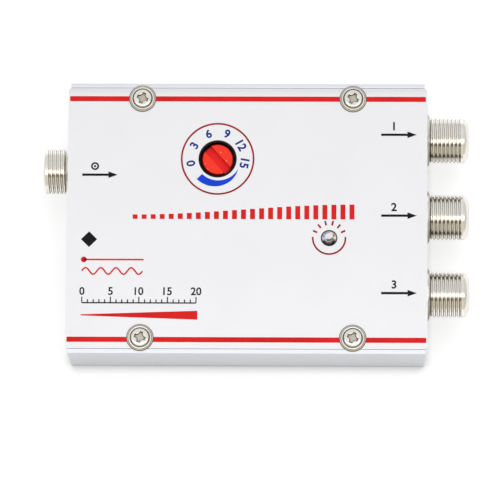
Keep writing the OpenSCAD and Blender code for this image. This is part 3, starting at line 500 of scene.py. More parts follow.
def ribbon(left, right, ink, loop=False):
    """A flat ink solid on the cover between two lines of points: top, underside, two edges and, where it
    isn't a loop, two ends. Each pair of points is one section, and the sections are joined in order."""
    count, ink_top = len(left), COVER_TOP + ink
    corners = ((left, ink_top), (right, ink_top), (right, COVER_TOP), (left, COVER_TOP))
    sides = [np.concatenate([line, np.full((count, 1), z)], axis=1) for line, z in corners]
    points = np.stack(sides, axis=1).reshape(-1, 3)
    faces = ring_faces(count, 4, loop)
    if not loop:
        end = 4 * (count - 1)
        faces += [[0, 1, 2, 3], [end, end + 1, end + 2, end + 3]]
    return points, faces


def straight(x0, x1, y, half_widths, ink, stations=(0.0, 1.0)):
    """A straight ribbon along X whose half width is given at each station, a share of the way along."""
    x = x0 + (x1 - x0) * np.asarray(stations, float)
    half = np.asarray(half_widths, float)
    return ribbon(np.stack([x, y + half], axis=1), np.stack([x, y - half], axis=1), ink)


def arc(centre, inner, outer, start, end, ink, loop=False, ease=1.0):
    """A ribbon between two radii from one angle to another; they change with a power of the way gone."""
    steps = 128
    turn = np.linspace(start, end, steps, endpoint=not loop)[:, None]
    way = np.concatenate([np.cos(turn), np.sin(turn)], axis=1)
    middle = np.array([centre])
    share = np.linspace(0.0, 1.0, steps)[:, None] ** ease
    inner_r = inner[0] + (inner[1] - inner[0]) * share
    outer_r = outer[0] + (outer[1] - outer[0]) * share
    return ribbon(middle + inner_r * way, middle + outer_r * way, ink, loop)


def ring(centre, inner, outer, ink):
    """A closed ribbon between two circles."""
    return arc(centre, [inner] * 2, [outer] * 2, 0.0, FULL_TURN, ink, loop=True)


def disc(centre, radius, ink):
    """A round dot: a straight ribbon whose half width is the circle's height at each station."""
    turn = np.linspace(0.0, np.pi, 49)
    half = np.maximum(radius * np.sin(turn), POINT_WIDTH)
    return straight(centre[0] - radius, centre[0] + radius, centre[1], half, ink, 0.5 - 0.5 * np.cos(turn))


def wave_line(x0, x1, y, height, cycles, half_width, ink):
    """A sine wave drawn with a line of even width: the middle line is height times the sine, and the edges
    stand half a width off along its normal."""
    turn = np.linspace(0.0, FULL_TURN * cycles, 40 * cycles + 1)
    x = np.linspace(x0, x1, len(turn))
    middle = np.stack([x, y + height * np.sin(turn)], axis=1)
    slope = height * np.cos(turn) * FULL_TURN * cycles / (x1 - x0)
    normal = np.stack([-slope, np.ones_like(slope)], axis=1) / np.sqrt(1.0 + slope ** 2)[:, None]
    return ribbon(middle + half_width * normal, middle - half_width * normal, ink)


def spoke(centre, inner, outer, turn, half_width, ink):
    """A short bar that points away from a centre."""
    way = np.array([math.cos(turn), math.sin(turn)])
    side = np.array([-way[1], way[0]]) * half_width
    ends = np.array([centre]) + np.array([[inner], [outer]]) * way
    return ribbon(ends + side, ends - side, ink)


def mesh_arrays(mesh):
    """Points and faces of a mesh, which is then removed."""
    points = np.zeros(len(mesh.vertices) * 3)
    mesh.vertices.foreach_get("co", points)
    faces = [list(polygon.vertices) for polygon in mesh.polygons]
    bpy.data.meshes.remove(mesh)
    return points.reshape(-1, 3), faces


def figure(text, height, centre, ink, weight, turn=0.0):
    """A printed number: filled outlines of the given height, turned, centred on a point and raised by the
    ink."""
    curve = bpy.data.curves.new("figure", "FONT")
    curve.body = text
    curve.align_x = "CENTER"
    curve.align_y = "CENTER"
    curve.resolution_u = 6
    curve.offset = weight
    holder = add_object("figure", curve)
    seen = holder.evaluated_get(bpy.context.evaluated_depsgraph_get())
    outline, faces = mesh_arrays(bpy.data.meshes.new_from_object(seen))
    bpy.data.objects.remove(holder)
    bpy.data.curves.remove(curve)
    flat = outline[:, :2]
    low, high = flat.min(axis=0), flat.max(axis=0)
    flat = (flat - (low + high) / 2) * height / (high[1] - low[1])
    spin = np.array([[math.cos(turn), math.sin(turn)], [-math.sin(turn), math.cos(turn)]])
    points = np.concatenate([flat @ spin + np.array(centre), np.full((len(flat), 1), COVER_TOP)], axis=1)
    mesh = bpy.data.meshes.new("figure")
    mesh.from_pydata(points.tolist(), [], faces)
    work = bmesh.new()
    work.from_mesh(mesh)
    bmesh.ops.remove_doubles(work, verts=work.verts, dist=MERGE_DISTANCE)
    raised = bmesh.ops.extrude_face_region(work, geom=work.faces[:])
    tops = [item for item in raised["geom"] if isinstance(item, bmesh.types.BMVert)]
    bmesh.ops.translate(work, verts=tops, vec=(0.0, 0.0, ink))
    work.to_mesh(mesh)
    work.free()
    return mesh_arrays(mesh)


def print_piece(name, marks, material):
    """Joins printed marks into one piece."""
    new_piece(closed_mesh(name, *joined(marks)), material)


def add_node(tree, kind, sockets=None, **options):
    """Adds a shader node. Each socket, by name or number, takes a value or the output of another node."""
    node = tree.nodes.new(f"ShaderNode{kind}")
    for option, value in options.items():
        setattr(node, option, value)
    for socket, value in (sockets or {}).items():
        if isinstance(value, bpy.types.NodeSocket):
            tree.links.new(value, node.inputs[socket])
        else:
            node.inputs[socket].default_value = value
    return node


def emptied_tree(owner):
    """Node tree of a material or world, without the nodes that it starts with."""
    owner.use_nodes = True
    owner.node_tree.nodes.clear()
    return owner.node_tree


def new_material(name):
    """A material without nodes, and its tree."""
    material = bpy.data.materials.new(name)
    return material, emptied_tree(material)


def principled(material, sockets):
    """Ends a material with a Principled shader that has the given sockets."""
    shader = add_node(material.node_tree, "BsdfPrincipled", sockets)
    add_node(material.node_tree, "OutputMaterial", {"Surface": shader.outputs["BSDF"]})
    return material


def shade(tint, share):
    """A colour scaled by a share and kept within 0 and 1."""
    return tuple(min(1.0, max(0.0, value * share)) for value in tint)


def opaque(tint):
    """A tint with full cover. The colour output of a node stays as it is."""
    return tint if isinstance(tint, bpy.types.NodeSocket) else (*tint, 1.0)


def coordinates(tree, output="Object"):
    """Object coordinates, or another output of the same node."""
    return add_node(tree, "TexCoord").outputs[output]


def axes_of(tree, vector):
    """The X, Y and Z of a vector."""
    return add_node(tree, "SeparateXYZ", {"Vector": vector}).outputs


def compute(tree, operation, *values, clamp=False):
    """Result of a Math node."""
    sockets = dict(enumerate(values))
    return add_node(tree, "Math", sockets, operation=operation, use_clamp=clamp).outputs["Value"]


def compute_vector(tree, operation, *vectors):
    """A Vector Math node's outputs."""
    return add_node(tree, "VectorMath", dict(enumerate(vectors)), operation=operation).outputs


def span(tree, value, first, last, low=0.0, high=1.0):
    """Runs evenly from low to high as a value goes from first to last, and holds beyond them."""
    limits = {"Value": value, "From Min": first, "From Max": last, "To Min": low, "To Max": high}
    return add_node(tree, "MapRange", limits).outputs["Result"]


def noise_span(tree, noise, low, high):
    """Runs from low to high over the values where most of a noise lies."""
    return span(tree, noise, NOISE_LOW, NOISE_HIGH, low, high)


def mix(tree, share, first, second):
    """Mixes two colours by a share of the second."""
    colours = {"Factor": share, "A": opaque(first), "B": opaque(second)}
    return add_node(tree, "Mix", colours, data_type="RGBA").outputs["Result"]


def tone(tree, factor, first, second, low=NOISE_LOW, high=NOISE_HIGH):
    """Runs a colour from first to second as the factor goes from low to high."""
    ramp = add_node(tree, "ValToRGB", {"Fac": factor})
    for element, place, tint in zip(ramp.color_ramp.elements, (low, high), (first, second)):
        element.position = place
        element.color = opaque(tint)
    return ramp.outputs["Color"]


def clouded(tree, factor, tint, dark, light, low=NOISE_LOW, high=NOISE_HIGH):
    """Runs a tint from its dark share to its light share as the factor goes from low to high."""
    return tone(tree, factor, shade(tint, dark), shade(tint, light), low, high)


def object_noise(tree, scale, detail, stretch=(1.0, 1.0, 1.0)):
    """Noise on Object coordinates, in features per metre, stretched along the axes."""
    mapped = add_node(tree, "Mapping", {"Vector": coordinates(tree), "Scale": stretch}).outputs["Vector"]
    look = {"Vector": mapped, "Scale": scale, "Detail": detail, "Roughness": NOISE_ROUGHNESS}
    return add_node(tree, "TexNoise", look).outputs["Fac"]


def bump(tree, factor, strength, distance):
    """Raises the surface by a fraction of a millimetre where the factor is high."""
    relief = {"Height": factor, "Strength": strength, "Distance": distance}
    return add_node(tree, "Bump", relief).outputs["Normal"]


def darkened(tree, plain, share, spans):
    """Takes a colour to a darker tone by a share, as painted shade. The tone comes in along each given axis
    from a first place to a last one, and where two axes are given it holds only where both are past their
    first place."""
    axes = axes_of(tree, coordinates(tree))
    amount, *others = [span(tree, axes[axis], first, last, high=share) for axis, first, last in spans]
    for other in others:
        amount = compute(tree, "MINIMUM", amount, other)
    return mix(tree, amount, plain, second=(0.2, 0.2, 0.2))


def satin_metal(name, tint, stretch, rough, variation, relief, metallic, dark=()):
    """Blasted or drawn aluminium: metallic, with a fine grain in tone, roughness and relief. Dark lists the
    places with painted shade, deeper in tone, each with its share."""
    material, tree = new_material(name)
    grain = object_noise(tree, scale=2600.0, detail=5.0, stretch=stretch)
    cloud = object_noise(tree, scale=70.0, detail=3.0, stretch=stretch)
    finish = clouded(tree, cloud, tint, dark=1.0 - variation, light=1.0 + variation)
    for share, *spans in dark:
        finish = darkened(tree, finish, share, spans)
    return principled(material, {
        "Base Color": finish,
        "Metallic": metallic,
        "Roughness": noise_span(tree, grain, rough - ROUGH_SWING, rough + ROUGH_SWING),
        "Normal": bump(tree, grain, strength=relief, distance=0.02 * MM),
    })


def underside(tree):
    """Share of painted shade on faces that stand steep to the front or back, from the surface's own
    direction.
    """
    axes = axes_of(tree, coordinates(tree, "Normal"))
    down = span(tree, axes["Z"], first=0.7, last=0.35)
    steep = span(tree, compute(tree, "ABSOLUTE", axes["Y"]), first=0.2, last=0.5)
    return compute(tree, "MULTIPLY", down, steep)


def painted_grime(tree):
    """Share of painted shade from the piece's own attribute."""
    return add_node(tree, "Attribute", attribute_name="grime").outputs["Fac"]


def plated_metal(name, tint, rough, grime=painted_grime):
    """Bright plate: metallic, with faint stains, a fine ripple, and painted shade and painted reflection,
    first tan and then dark, where its share says."""
    material, tree = new_material(name)
    stain = object_noise(tree, scale=420.0, detail=5.0)
    ripple = object_noise(tree, scale=1500.0, detail=3.0)
    finish = clouded(tree, stain, tint, dark=0.93, light=1.05)
    shade_share = grime(tree)
    # Painted shade and painted reflection: tan up to a share, then dark.
    tan_shade_share = 0.35
    finish = mix(tree, span(tree, shade_share, 0.0, tan_shade_share), finish, second=(0.64, 0.60, 0.52))
    finish = mix(tree, span(tree, shade_share, tan_shade_share, 1.0), finish, second=(0.13, 0.11, 0.08))
    return principled(material, {
        "Base Color": finish,
        "Metallic": 1.0,
        "Roughness": noise_span(tree, stain, rough * 0.75, rough * 1.3),
        "Normal": bump(tree, ripple, strength=0.1, distance=0.02 * MM),
    })


def moulded(name, tint, rough, relief=0.1, coat=0.0, specular=0.5):
    """Moulded or coated stuff: an even colour, slightly clouded, a fine texture and an optional gloss."""
    material, tree = new_material(name)
    cloud = object_noise(tree, scale=300.0, detail=3.0)
    texture = object_noise(tree, scale=3200.0, detail=4.0)
    return principled(material, {
        "Base Color": clouded(tree, cloud, tint, dark=0.88, light=1.1),
        "Roughness": noise_span(tree, texture, rough - MOULDED_SWING, rough + MOULDED_SWING),
        "Specular IOR Level": specular,
        "Coat Weight": coat,
        "Coat Roughness": 0.12,
        "Normal": bump(tree, texture, strength=relief, distance=0.03 * MM),
    })


def wound_wire(name, tint, turns_per_metre, axis):
    """Enamelled wire laid side by side: bands across an axis give each turn its round and its shade."""
    material, tree = new_material(name)
    bands_per_scale = 20.0 / FULL_TURN
    look = {"Vector": coordinates(tree), "Scale": turns_per_metre / bands_per_scale, "Distortion": 0.4}
    wave = add_node(tree, "TexWave", look, bands_direction=axis).outputs["Fac"]
    return principled(material, {
        "Base Color": clouded(tree, wave, tint, dark=0.45, light=1.15, low=0.05, high=0.6),
        "Metallic": 0.75,
        "Roughness": 0.32,
        "Normal": bump(tree, wave, strength=0.8, distance=0.1 * MM),
    })


def solder_mask(name, tint):
    """Green board: raised tracks under a glossy mask, drawn by a grid of broken lines."""
    material, tree = new_material(name)
    tracks = add_node(tree, "TexBrick", {
        "Vector": coordinates(tree),
        "Scale": 190.0,
        "Mortar Size": 0.12,
        "Color1": opaque(shade(tint, 0.8)),
        "Color2": opaque(shade(tint, 1.05)),
        "Mortar": opaque(shade(tint, 1.7)),
    }).outputs
    return principled(material, {
        "Base Color": tracks["Color"],
        "Roughness": 0.35,
        "Coat Weight": 0.4,
        "Normal": bump(tree, tracks["Fac"], strength=0.4, distance=0.04 * MM),
    })


def clear_lens(name):
    """Clear cast resin with faint waves in its surface. Below the cover its wall is dark, a painted shade;
    over it the dome is clear on its front side and has painted glints behind, milky facets and a milky rim,
    with a painted reflection that is cool on one side and warm on the other."""
    material, tree = new_material(name)
    axes = axes_of(tree, coordinates(tree))
    x, y = LENS_MIDDLE.xy
    dome_z = LENS_HIGH.z - (LENS_HIGH.x - LENS_LOW.x) / 2
    clear = span(tree, axes["Z"], COVER_TOP - 0.5 * MM, COVER_TOP - 0.2 * MM)
    behind = span(tree, axes["Y"], y - 0.75 * MM, y - 0.2 * MM)
    glint_patch = span(tree, object_noise(tree, scale=640.0, detail=1.0), 0.47, 0.57, low=0.95, high=0.1)
    rim = span(tree, axes["Z"], dome_z + 1.6 * MM, dome_z + 1.1 * MM, high=0.8)
    # Painted glints behind, where the dome turns opaque and milky.
    painted_glint = compute(tree, "MULTIPLY", behind, compute(tree, "MAXIMUM", glint_patch, rim))
    # Painted reflection: cool on the low X side, warm on the high X side.
    aside = span(tree, axes["X"], x - 0.9 * MM, x + 0.9 * MM)
    resin = mix(tree, aside, first=(0.84, 0.86, 1.0), second=(1.0, 0.87, 0.76))
    wave = object_noise(tree, scale=700.0, detail=2.0)
    return principled(material, {
        # The dark wall below the cover is painted shade.
        "Base Color": mix(tree, clear, (0.2, 0.19, 0.18), resin),
        "Transmission Weight": compute(tree, "SUBTRACT", clear, painted_glint, clamp=True),
        "IOR": 1.53,
        "Roughness": noise_span(tree, wave, 0.0, 0.04),
        "Normal": bump(tree, wave, strength=0.05, distance=0.03 * MM),
    })


def light_leads(name, tint):
    """Tinned leads with painted shade on the front side of their cup."""
    material, tree = new_material(name)
    y = LENS_MIDDLE.y
    front = span(tree, axes_of(tree, coordinates(tree))["Y"], y - 0.05 * MM, y + 0.1 * MM)
    return principled(material, {
        # Painted shade on the front side.
        "Base Color": tone(tree, front, (0.02, 0.014, 0.012), tint, low=0.0, high=1.0),
        "Metallic": 0.9,
        "Roughness": 0.2,
    })


def rotor_plastic(name, tint):
    """Red plastic with painted shade in the slot and towards the round edge, and a few pale scuffs on top.
    """
    material, tree = new_material(name)
    place = coordinates(tree)
    on_top = span(tree, axes_of(tree, place)["Z"], DIAL_HIGH.z - 0.25 * MM, DIAL_HIGH.z)
    red, green, blue = tint
    # Painted shade below the top, in the slot.
    finish = mix(tree, on_top, first=(0.9 * red, 0.4 * green, 0.9 * blue), second=tint)
    speck = span(tree, object_noise(tree, scale=1500.0, detail=3.0), first=0.67, last=0.72)
    finish = mix(tree, compute(tree, "MULTIPLY", speck, on_top), finish, second=(1.0, 0.62, 0.52))
    centred = compute_vector(tree, "SUBTRACT", place, DIAL_MIDDLE)["Vector"]
    flat = compute_vector(tree, "MULTIPLY", centred, (1.0, 1.0, 0.0))["Vector"]
    reach = compute_vector(tree, "LENGTH", flat)["Value"]
    radius = (DIAL_HIGH.x - DIAL_LOW.x) / 2
    # Painted shade towards the round edge.
    edge = span(tree, reach, radius - 0.4 * MM, radius - 0.05 * MM)
    scuff = object_noise(tree, scale=1400.0, detail=6.0)
    return principled(material, {
        "Base Color": mix(tree, edge, finish, second=(0.06, 0.003, 0.003)),
        "Specular IOR Level": 0.15,
        "Roughness": noise_span(tree, scuff, 0.28, 0.5),
        "Normal": bump(tree, scuff, strength=0.2, distance=0.04 * MM),
    })


def glossy_mark(name, tint):
    """Screen-printed ink: a thin uneven film with a soft gloss."""
    material, tree = new_material(name)
    film = object_noise(tree, scale=1800.0, detail=3.0)
    patch = object_noise(tree, scale=160.0, detail=2.0)
    return principled(material, {
        "Base Color": clouded(tree, patch, tint, dark=0.9, light=1.08),
        "Specular IOR Level": 0.12,
        "Roughness": noise_span(tree, film, 0.38, 0.52),
        "Normal": bump(tree, film, strength=0.06, distance=0.01 * MM),
    })


def slot_finishes(settings, tints):
    """A finish for each material slot of the record, keyed by the slot's name, with others for the output
    nuts and the light's leads. The channel has painted shade growing down its wall, a painted contact shadow
    at its foot and painted shade along its back edge, and the cover has painted shade behind its back line."""
    channel_painted_shade = [
        # Painted shade that grows down the wall.
        (0.085, ("Z", 14.0 * MM, 2.0 * MM)),
        # Painted contact shadow at the foot.
        (0.3, ("Z", 1.9 * MM, 0.8 * MM)),
        # Painted shade along the top of the back edge.
        (0.2, ("Y", 28.2 * MM, 28.4 * MM), ("Z", 16.2 * MM, 16.4 * MM)),
    ]
    # Painted shade on the cover behind its back line.
    cover_painted_shade = [(0.13, ("Y", 26.2 * MM, 27.6 * MM))]
    finishes = {slot: moulded(name, tints[slot], **look) for slot, (name, look) in MOULDED_LOOKS.items()}
    finishes.update({
        "channel_aluminium": satin_metal(
            "drawn_aluminium", settings.channel, stretch=(0.02, 1.0, 1.0), rough=0.36, variation=0.03,
            relief=0.25, metallic=0.2, dark=channel_painted_shade),
        "cover_aluminium": satin_metal(
            "blasted_aluminium", settings.cover, stretch=(1.0, 1.0, 1.0), rough=0.44, variation=0.012,
            relief=0.3, metallic=0.55, dark=cover_painted_shade),
        "panel_steel": satin_metal(
            "tinned_sheet", tints["panel_steel"], stretch=(1.0, 0.05, 1.0), rough=0.3, variation=0.03,
            relief=0.2, metallic=0.85),
        "nickel": plated_metal("nickel_plate", settings.nickel, rough=0.23),
        "nut": plated_metal("nut_plate", settings.nut, rough=0.32, grime=underside),
        "contact_brass": plated_metal("contact_brass", tints["contact_brass"], rough=0.22),
        "lead_tin": plated_metal("tinned_lead", tints["lead_tin"], rough=0.25),
        "light_leads": light_leads("light_leads", tints["lead_tin"]),
        "light_clear": clear_lens("clear_resin"),
        "control_black": moulded("black_plastic", settings.collar, rough=0.55, specular=0.2),
        "control_red": rotor_plastic("red_plastic", settings.rotor),
        "board_green": solder_mask("green_board", tints["board_green"]),
        "winding_copper": wound_wire("copper_winding", tints["winding_copper"], 4000.0, axis="X"),
    })
    return finishes


class AMPLIFIER_OT_finishes(bpy.types.Operator):
    """Gives every solid its finish, by the record's material slots"""
    bl_idname = "amplifier.finishes"
    bl_label = "Finishes"

    def execute(self, context):
        record = frame["record"]
        tints = {row["slot"]: tuple(row["base_color"][:3]) for row in record["materials"]}
        finishes = slot_finishes(context.scene.amplifier_finish, tints)
        own_finish = {f"{port}_port_nut": "nut" for port, (side, *port_shade) in PORTS.items() if side > 0}
        own_finish["power_light_leads"] = "light_leads"
        for row in record["subparts"]:
            mesh = frame["nodes"][row["node"]].data
            mesh.materials.clear()
            mesh.materials.append(finishes[own_finish.get(row["node"], row["material_slot"])])
        return {"FINISHED"}


class AMPLIFIER_OT_port_shells(bpy.types.Operator):
    """Cuts the thread of the input port and of the three output ports"""
    bl_idname = "amplifier.port_shells"
    bl_label = "Port threads"

    def execute(self, context):
        for port, (side, port_shade, patches) in PORTS.items():
            mesh = port_shell(port, side, port_shade, patches, context.scene.amplifier_port)
            stand_in(mesh, "nickel_plate", smooth_degrees=48.0, node=f"{port}_port_shell")
        return {"FINISHED"}


class AMPLIFIER_OT_cover_screws(bpy.types.Operator):
    """Turns the four washer-headed cover screws"""
    bl_idname = "amplifier.cover_screws"
    bl_label = "Cover screws"

    def execute(self, context):
        mesh = screws_mesh(context.scene.amplifier_screw)
        stand_in(mesh, "nickel_plate", smooth_degrees=42.0, node="cover_screws")
        return {"FINISHED"}


class AMPLIFIER_OT_light_dome(bpy.types.Operator):
    """Casts the clear lens of the power light"""
    bl_idname = "amplifier.light_dome"
    bl_label = "Light lens"

    def execute(self, context):
        mesh = lens_mesh(context.scene.amplifier_light)
        stand_in(mesh, "clear_resin", smooth_degrees=40.0, node="power_light_lens")
        return {"FINISHED"}


class AMPLIFIER_OT_border_print(bpy.types.Operator):
    """Prints the two long red lines, which pass under the screws"""
    bl_idname = "amplifier.border_print"
    bl_label = "Border lines"

    def execute(self, context):
        settings = context.scene.amplifier_print
        inset, under_screw = 0.3 * MM, 2.2 * MM
        stops = [
            (COVER_LOW.x + inset, -SCREW_X - under_screw),
            (under_screw - SCREW_X, SCREW_X - under_screw),
            (SCREW_X + under_screw, COVER_HIGH.x - inset),
        ]
        half = settings.border_width / 2
        marks = [straight(x0, x1, y, [half] * 2, settings.ink)
                 for y in (settings.border_back, -settings.border_front) for x0, x1 in stops]
        print_piece("border_print", marks, glossy_mark("red_ink", settings.red))
        return {"FINISHED"}


class AMPLIFIER_OT_dial_print(bpy.types.Operator):
    """Prints the ring, the rising wedge and the figures round the gain control"""
    bl_idname = "amplifier.dial_print"
    bl_label = "Gain dial"

    def execute(self, context):
        settings = context.scene.amplifier_print
        ink, outer = settings.ink, settings.ring_radius
        x, y = centre = tuple(DIAL_MIDDLE.xy)
        circle = ring(centre, outer - settings.ring_width, outer, ink)
        deep_red = glossy_mark("deep_red_ink", settings.deep_red)
        print_piece("dial_ring_print", [circle], deep_red)
        wedge_inner, wedge_outer = (4.6 * MM, 4.86 * MM), (6.2 * MM, 4.9 * MM)
        wedge_start, wedge_end = np.radians((225.0, 332.0))
        wedge = arc(centre, wedge_inner, wedge_outer, wedge_start, wedge_end, ink, ease=1.8)
        print_piece("dial_wedge_print", [wedge], glossy_mark("blue_ink", settings.blue))
        figures, reach, height = [], 5.75 * MM, 1.9 * MM
        first_turn, last_turn, numbers = 190.0, -10.0, range(0, 18, 3)
        for value, turn in zip(numbers, np.radians(np.linspace(first_turn, last_turn, len(numbers)))):
            spot = (x + reach * math.cos(turn), y + reach * math.sin(turn))
            figures.append(figure(str(value), height, spot, ink, weight=0.03, turn=turn - math.pi / 2))
        print_piece("dial_figure_print", figures, glossy_mark("dark_blue_ink", settings.navy))
        return {"FINISHED"}


class AMPLIFIER_OT_light_print(bpy.types.Operator):
    """Prints the arc under the power light and the short rays over it"""
    bl_idname = "amplifier.light_print"
    bl_label = "Light mark"

    def execute(self, context):
        ink, centre = context.scene.amplifier_print.ink, tuple(LENS_MIDDLE.xy)
        arc_inner, arc_outer = 3.25 * MM, 3.62 * MM
        arc_start, arc_end = np.radians((176.0, 364.0))
        marks = [arc(centre, [arc_inner] * 2, [arc_outer] * 2, arc_start, arc_end, ink)]
        ray_inner, ray_outer, ray_half_width = 2.75 * MM, 3.75 * MM, 0.2 * MM
        rays, first_turn, last_turn = 6, 155.0, 25.0
        marks += [spoke(centre, ray_inner, ray_outer, turn, ray_half_width, ink)
                  for turn in np.radians(np.linspace(first_turn, last_turn, rays))]
        print_piece("light_mark_print", marks, bpy.data.materials["deep_red_ink"])
        return {"FINISHED"}


class AMPLIFIER_OT_port_print(bpy.types.Operator):
    """Prints an arrow at each port and a figure at each output"""
    bl_idname = "amplifier.port_print"
    bl_label = "Port arrows"

    def execute(self, context):
        settings = context.scene.amplifier_print
        ink, reach = settings.ink, settings.arrow_length
        half, head = settings.arrow_width / 2, settings.head_width / 2
        neck = 1.0 - settings.head_length / reach
        widths, stations = [half, half, head, POINT_WIDTH], [0.0, neck, neck, 1.0]
        input_place, output_x = (-34.9 * MM, 9.2 * MM), 28.25 * MM
        places = [input_place] + [(output_x, y * MM) for y in (18.0, 0.55, -16.05)]
        marks = [straight(x, x + reach, y, widths, ink, stations) for x, y in places]
        over_x, over_y = 2.7 * MM, 1.85 * MM
        input_spot, *output_spots = [(x + over_x, y + over_y) for x, y in places]
        marks += [figure(str(output), settings.figure_height, spot, ink, weight=0.025)
                  for output, spot in enumerate(output_spots, 1)]
        marks.append(ring(input_spot, inner=0.5 * MM, outer=0.85 * MM, ink=ink))
        marks.append(disc(input_spot, radius=0.24 * MM, ink=ink))
        print_piece("port_arrow_print", marks, glossy_mark("black_ink", settings.black))
        return {"FINISHED"}


def level_bars(ink):
    """A row of bars on one foot line, whose heights rise by a smooth step from a share of the tallest."""
    count, left, right, foot = 25, -23.6 * MM, 22.1 * MM, -0.3 * MM
    half_width, tallest, least_share = 0.525 * MM, 3.2 * MM, 0.3
    middles = np.linspace(left, right, count)
    rise = step(0.0, 1.0, np.linspace(0.0, 1.0, count))
    halves = tallest * (least_share + (1.0 - least_share) * rise) / 2
    return [straight(x - half_width, x + half_width, foot + half, [half] * 2, ink)
            for x, half in zip(middles, halves)]


def mains_mark(ink):
    """A dot with a line from it, a wave under them, and a wedge that widens below the ruled scale."""
    half_line, line_end = 0.17 * MM, -21.7 * MM
    dot_x, dot_y = dot = (-34.3 * MM, -9.05 * MM)
    wave_left, wave_right, wave_y, wave_height = -34.7 * MM, -21.9 * MM, -11.5 * MM, 0.7 * MM
    wedge_left, wedge_right, wedge_y = -34.8 * MM, -10.3 * MM, -20.9 * MM
    return [
        disc(dot, radius=0.62 * MM, ink=ink),
        straight(dot_x, line_end, dot_y, [half_line] * 2, ink),
        wave_line(wave_left, wave_right, wave_y, wave_height, cycles=4, half_width=half_line, ink=ink),
        straight(wedge_left, wedge_right, wedge_y, [0.12 * MM, 0.95 * MM], ink),
    ]


def ruled_scale(ink):
    """A base line with even ticks, of which every fifth is long and has its number over it."""
    left, right, y = -34.6 * MM, -10.6 * MM, -18.3 * MM
    half_line, half_tick, short, tall = 0.14 * MM, 0.12 * MM, 0.75 * MM, 1.3 * MM
    ticks, each_long = 21, 5
    figure_y, figure_height = y + 2.5 * MM, 1.7 * MM
    marks = [straight(left, right, y, [half_line] * 2, ink)]
    for value, x in enumerate(np.linspace(left, right, ticks).tolist()):
        half = (tall if value % each_long == 0 else short) / 2
        marks.append(straight(x - half_tick, x + half_tick, y + half, [half] * 2, ink))
        if value % each_long == 0:
            marks.append(figure(str(value), figure_height, (x, figure_y), ink, weight=0.02))
    return marks


class AMPLIFIER_OT_level_print(bpy.types.Operator):
    """Prints the row of level bars, the mains mark, the ruled scale and the diamond"""
    bl_idname = "amplifier.level_print"
    bl_label = "Level bars and scale"

    def execute(self, context):
        ink = context.scene.amplifier_print.ink
        red = level_bars(ink) + mains_mark(ink)
        print_piece("level_bar_print", red, bpy.data.materials["red_ink"])
        diamond_middle, half = (-33.25 * MM, -4.7 * MM), 1.2 * MM
        black = ruled_scale(ink) + [spoke(diamond_middle, -half, half, math.pi / 4, half, ink)]
        print_piece("scale_print", black, bpy.data.materials["black_ink"])
        return {"FINISHED"}


def lamp(name, power, size, place, mirrored):
    """An area lamp that faces the object, isn't itself seen, and may show in gloss."""
    target = Vector((0.0, 0.0, 0.01))
    data = bpy.data.lights.new(name, "AREA")
    data.energy = power
    data.shape = "RECTANGLE"
    data.size, data.size_y = size
    holder = add_object(name, data)
    holder.location = place
    holder.rotation_euler = (target - Vector(place)).to_track_quat("-Z", "Y").to_euler()
    holder.visible_camera = False
    holder.visible_glossy = mirrored


def seen_ray(tree):
    """1 for rays from the camera, from gloss and through glass, else 0."""
    path = add_node(tree, "LightPath").outputs
    seen = compute(tree, "MAXIMUM", path["Is Camera Ray"], path["Is Glossy Ray"])
    return compute(tree, "MAXIMUM", seen, path["Is Transmission Ray"])


def floor_material(settings):
    """A pale matt floor with a glow for the rays that see it, which the object hides close to its foot."""
    material, tree = new_material("floor")
    paint = add_node(tree, "BsdfDiffuse", {"Color": opaque(settings.floor_colour)})
    clear_of = add_node(tree, "AmbientOcclusion", {"Distance": settings.contact})
    strength = compute(tree, "MULTIPLY", seen_ray(tree), settings.floor_lift)
    glow = add_node(tree, "Emission", {"Color": clear_of.outputs["Color"], "Strength": strength})
    both = add_node(tree, "AddShader", {0: paint.outputs["BSDF"], 1: glow.outputs["Emission"]})
    add_node(tree, "OutputMaterial", {"Surface": both.outputs["Shader"]})
    return material


def world_light(settings):
    """Even light on the object, and a pale backdrop for the rays that see it."""
    world = bpy.data.worlds.new("studio")
    tree = emptied_tree(world)
    strength = span(tree, seen_ray(tree), 0.0, 1.0, settings.sky, settings.backdrop)
    background = add_node(tree, "Background", {"Strength": strength})
    add_node(tree, "OutputWorld", {"Surface": background.outputs["Background"]})
    bpy.context.scene.world = world


def stage_sheet(name, points, faces, material):
    """Adds a sheet with its material to the scene, apart from the case."""
    mesh = bpy.data.meshes.new(name)
    mesh.from_pydata(points.tolist(), [], faces)
    mesh.materials.append(material)
    sheet = add_object(name, mesh)
    return sheet


def dark_card():
    """A bent card in front, seen only in gloss: an arc about the X axis, darker at its top edge than at its
    foot, which gives bright plate its bands."""
    radius, half_width, rows = 0.55, 0.8, 24
    top_tilt, foot_tilt = 23.0, 86.0
    tilts = np.radians(np.linspace(top_tilt, foot_tilt, rows))
    tilt, x = np.meshgrid(tilts, [-half_width, half_width], indexing="ij")
    points = np.stack([x, -radius * np.sin(tilt), radius * np.cos(tilt)], axis=-1).reshape(-1, 3)
    first = 2 * np.arange(len(tilts) - 1)
    faces = np.stack([first, first + 1, first + 3, first + 2], axis=1).tolist()
    material, tree = new_material("dark_card")
    level = span(tree, axes_of(tree, coordinates(tree))["Z"], first=0.41, last=0.455)
    olive = tone(tree, level, (0.74, 0.705, 0.605), (0.62, 0.58, 0.48), low=0.0, high=1.0)
    glow = add_node(tree, "Emission", {"Color": olive})
    add_node(tree, "OutputMaterial", {"Surface": glow.outputs["Emission"]})
    card = stage_sheet("dark_card", points, faces, material)
    card.visible_camera = False
    card.visible_diffuse = False
    card.visible_shadow = False


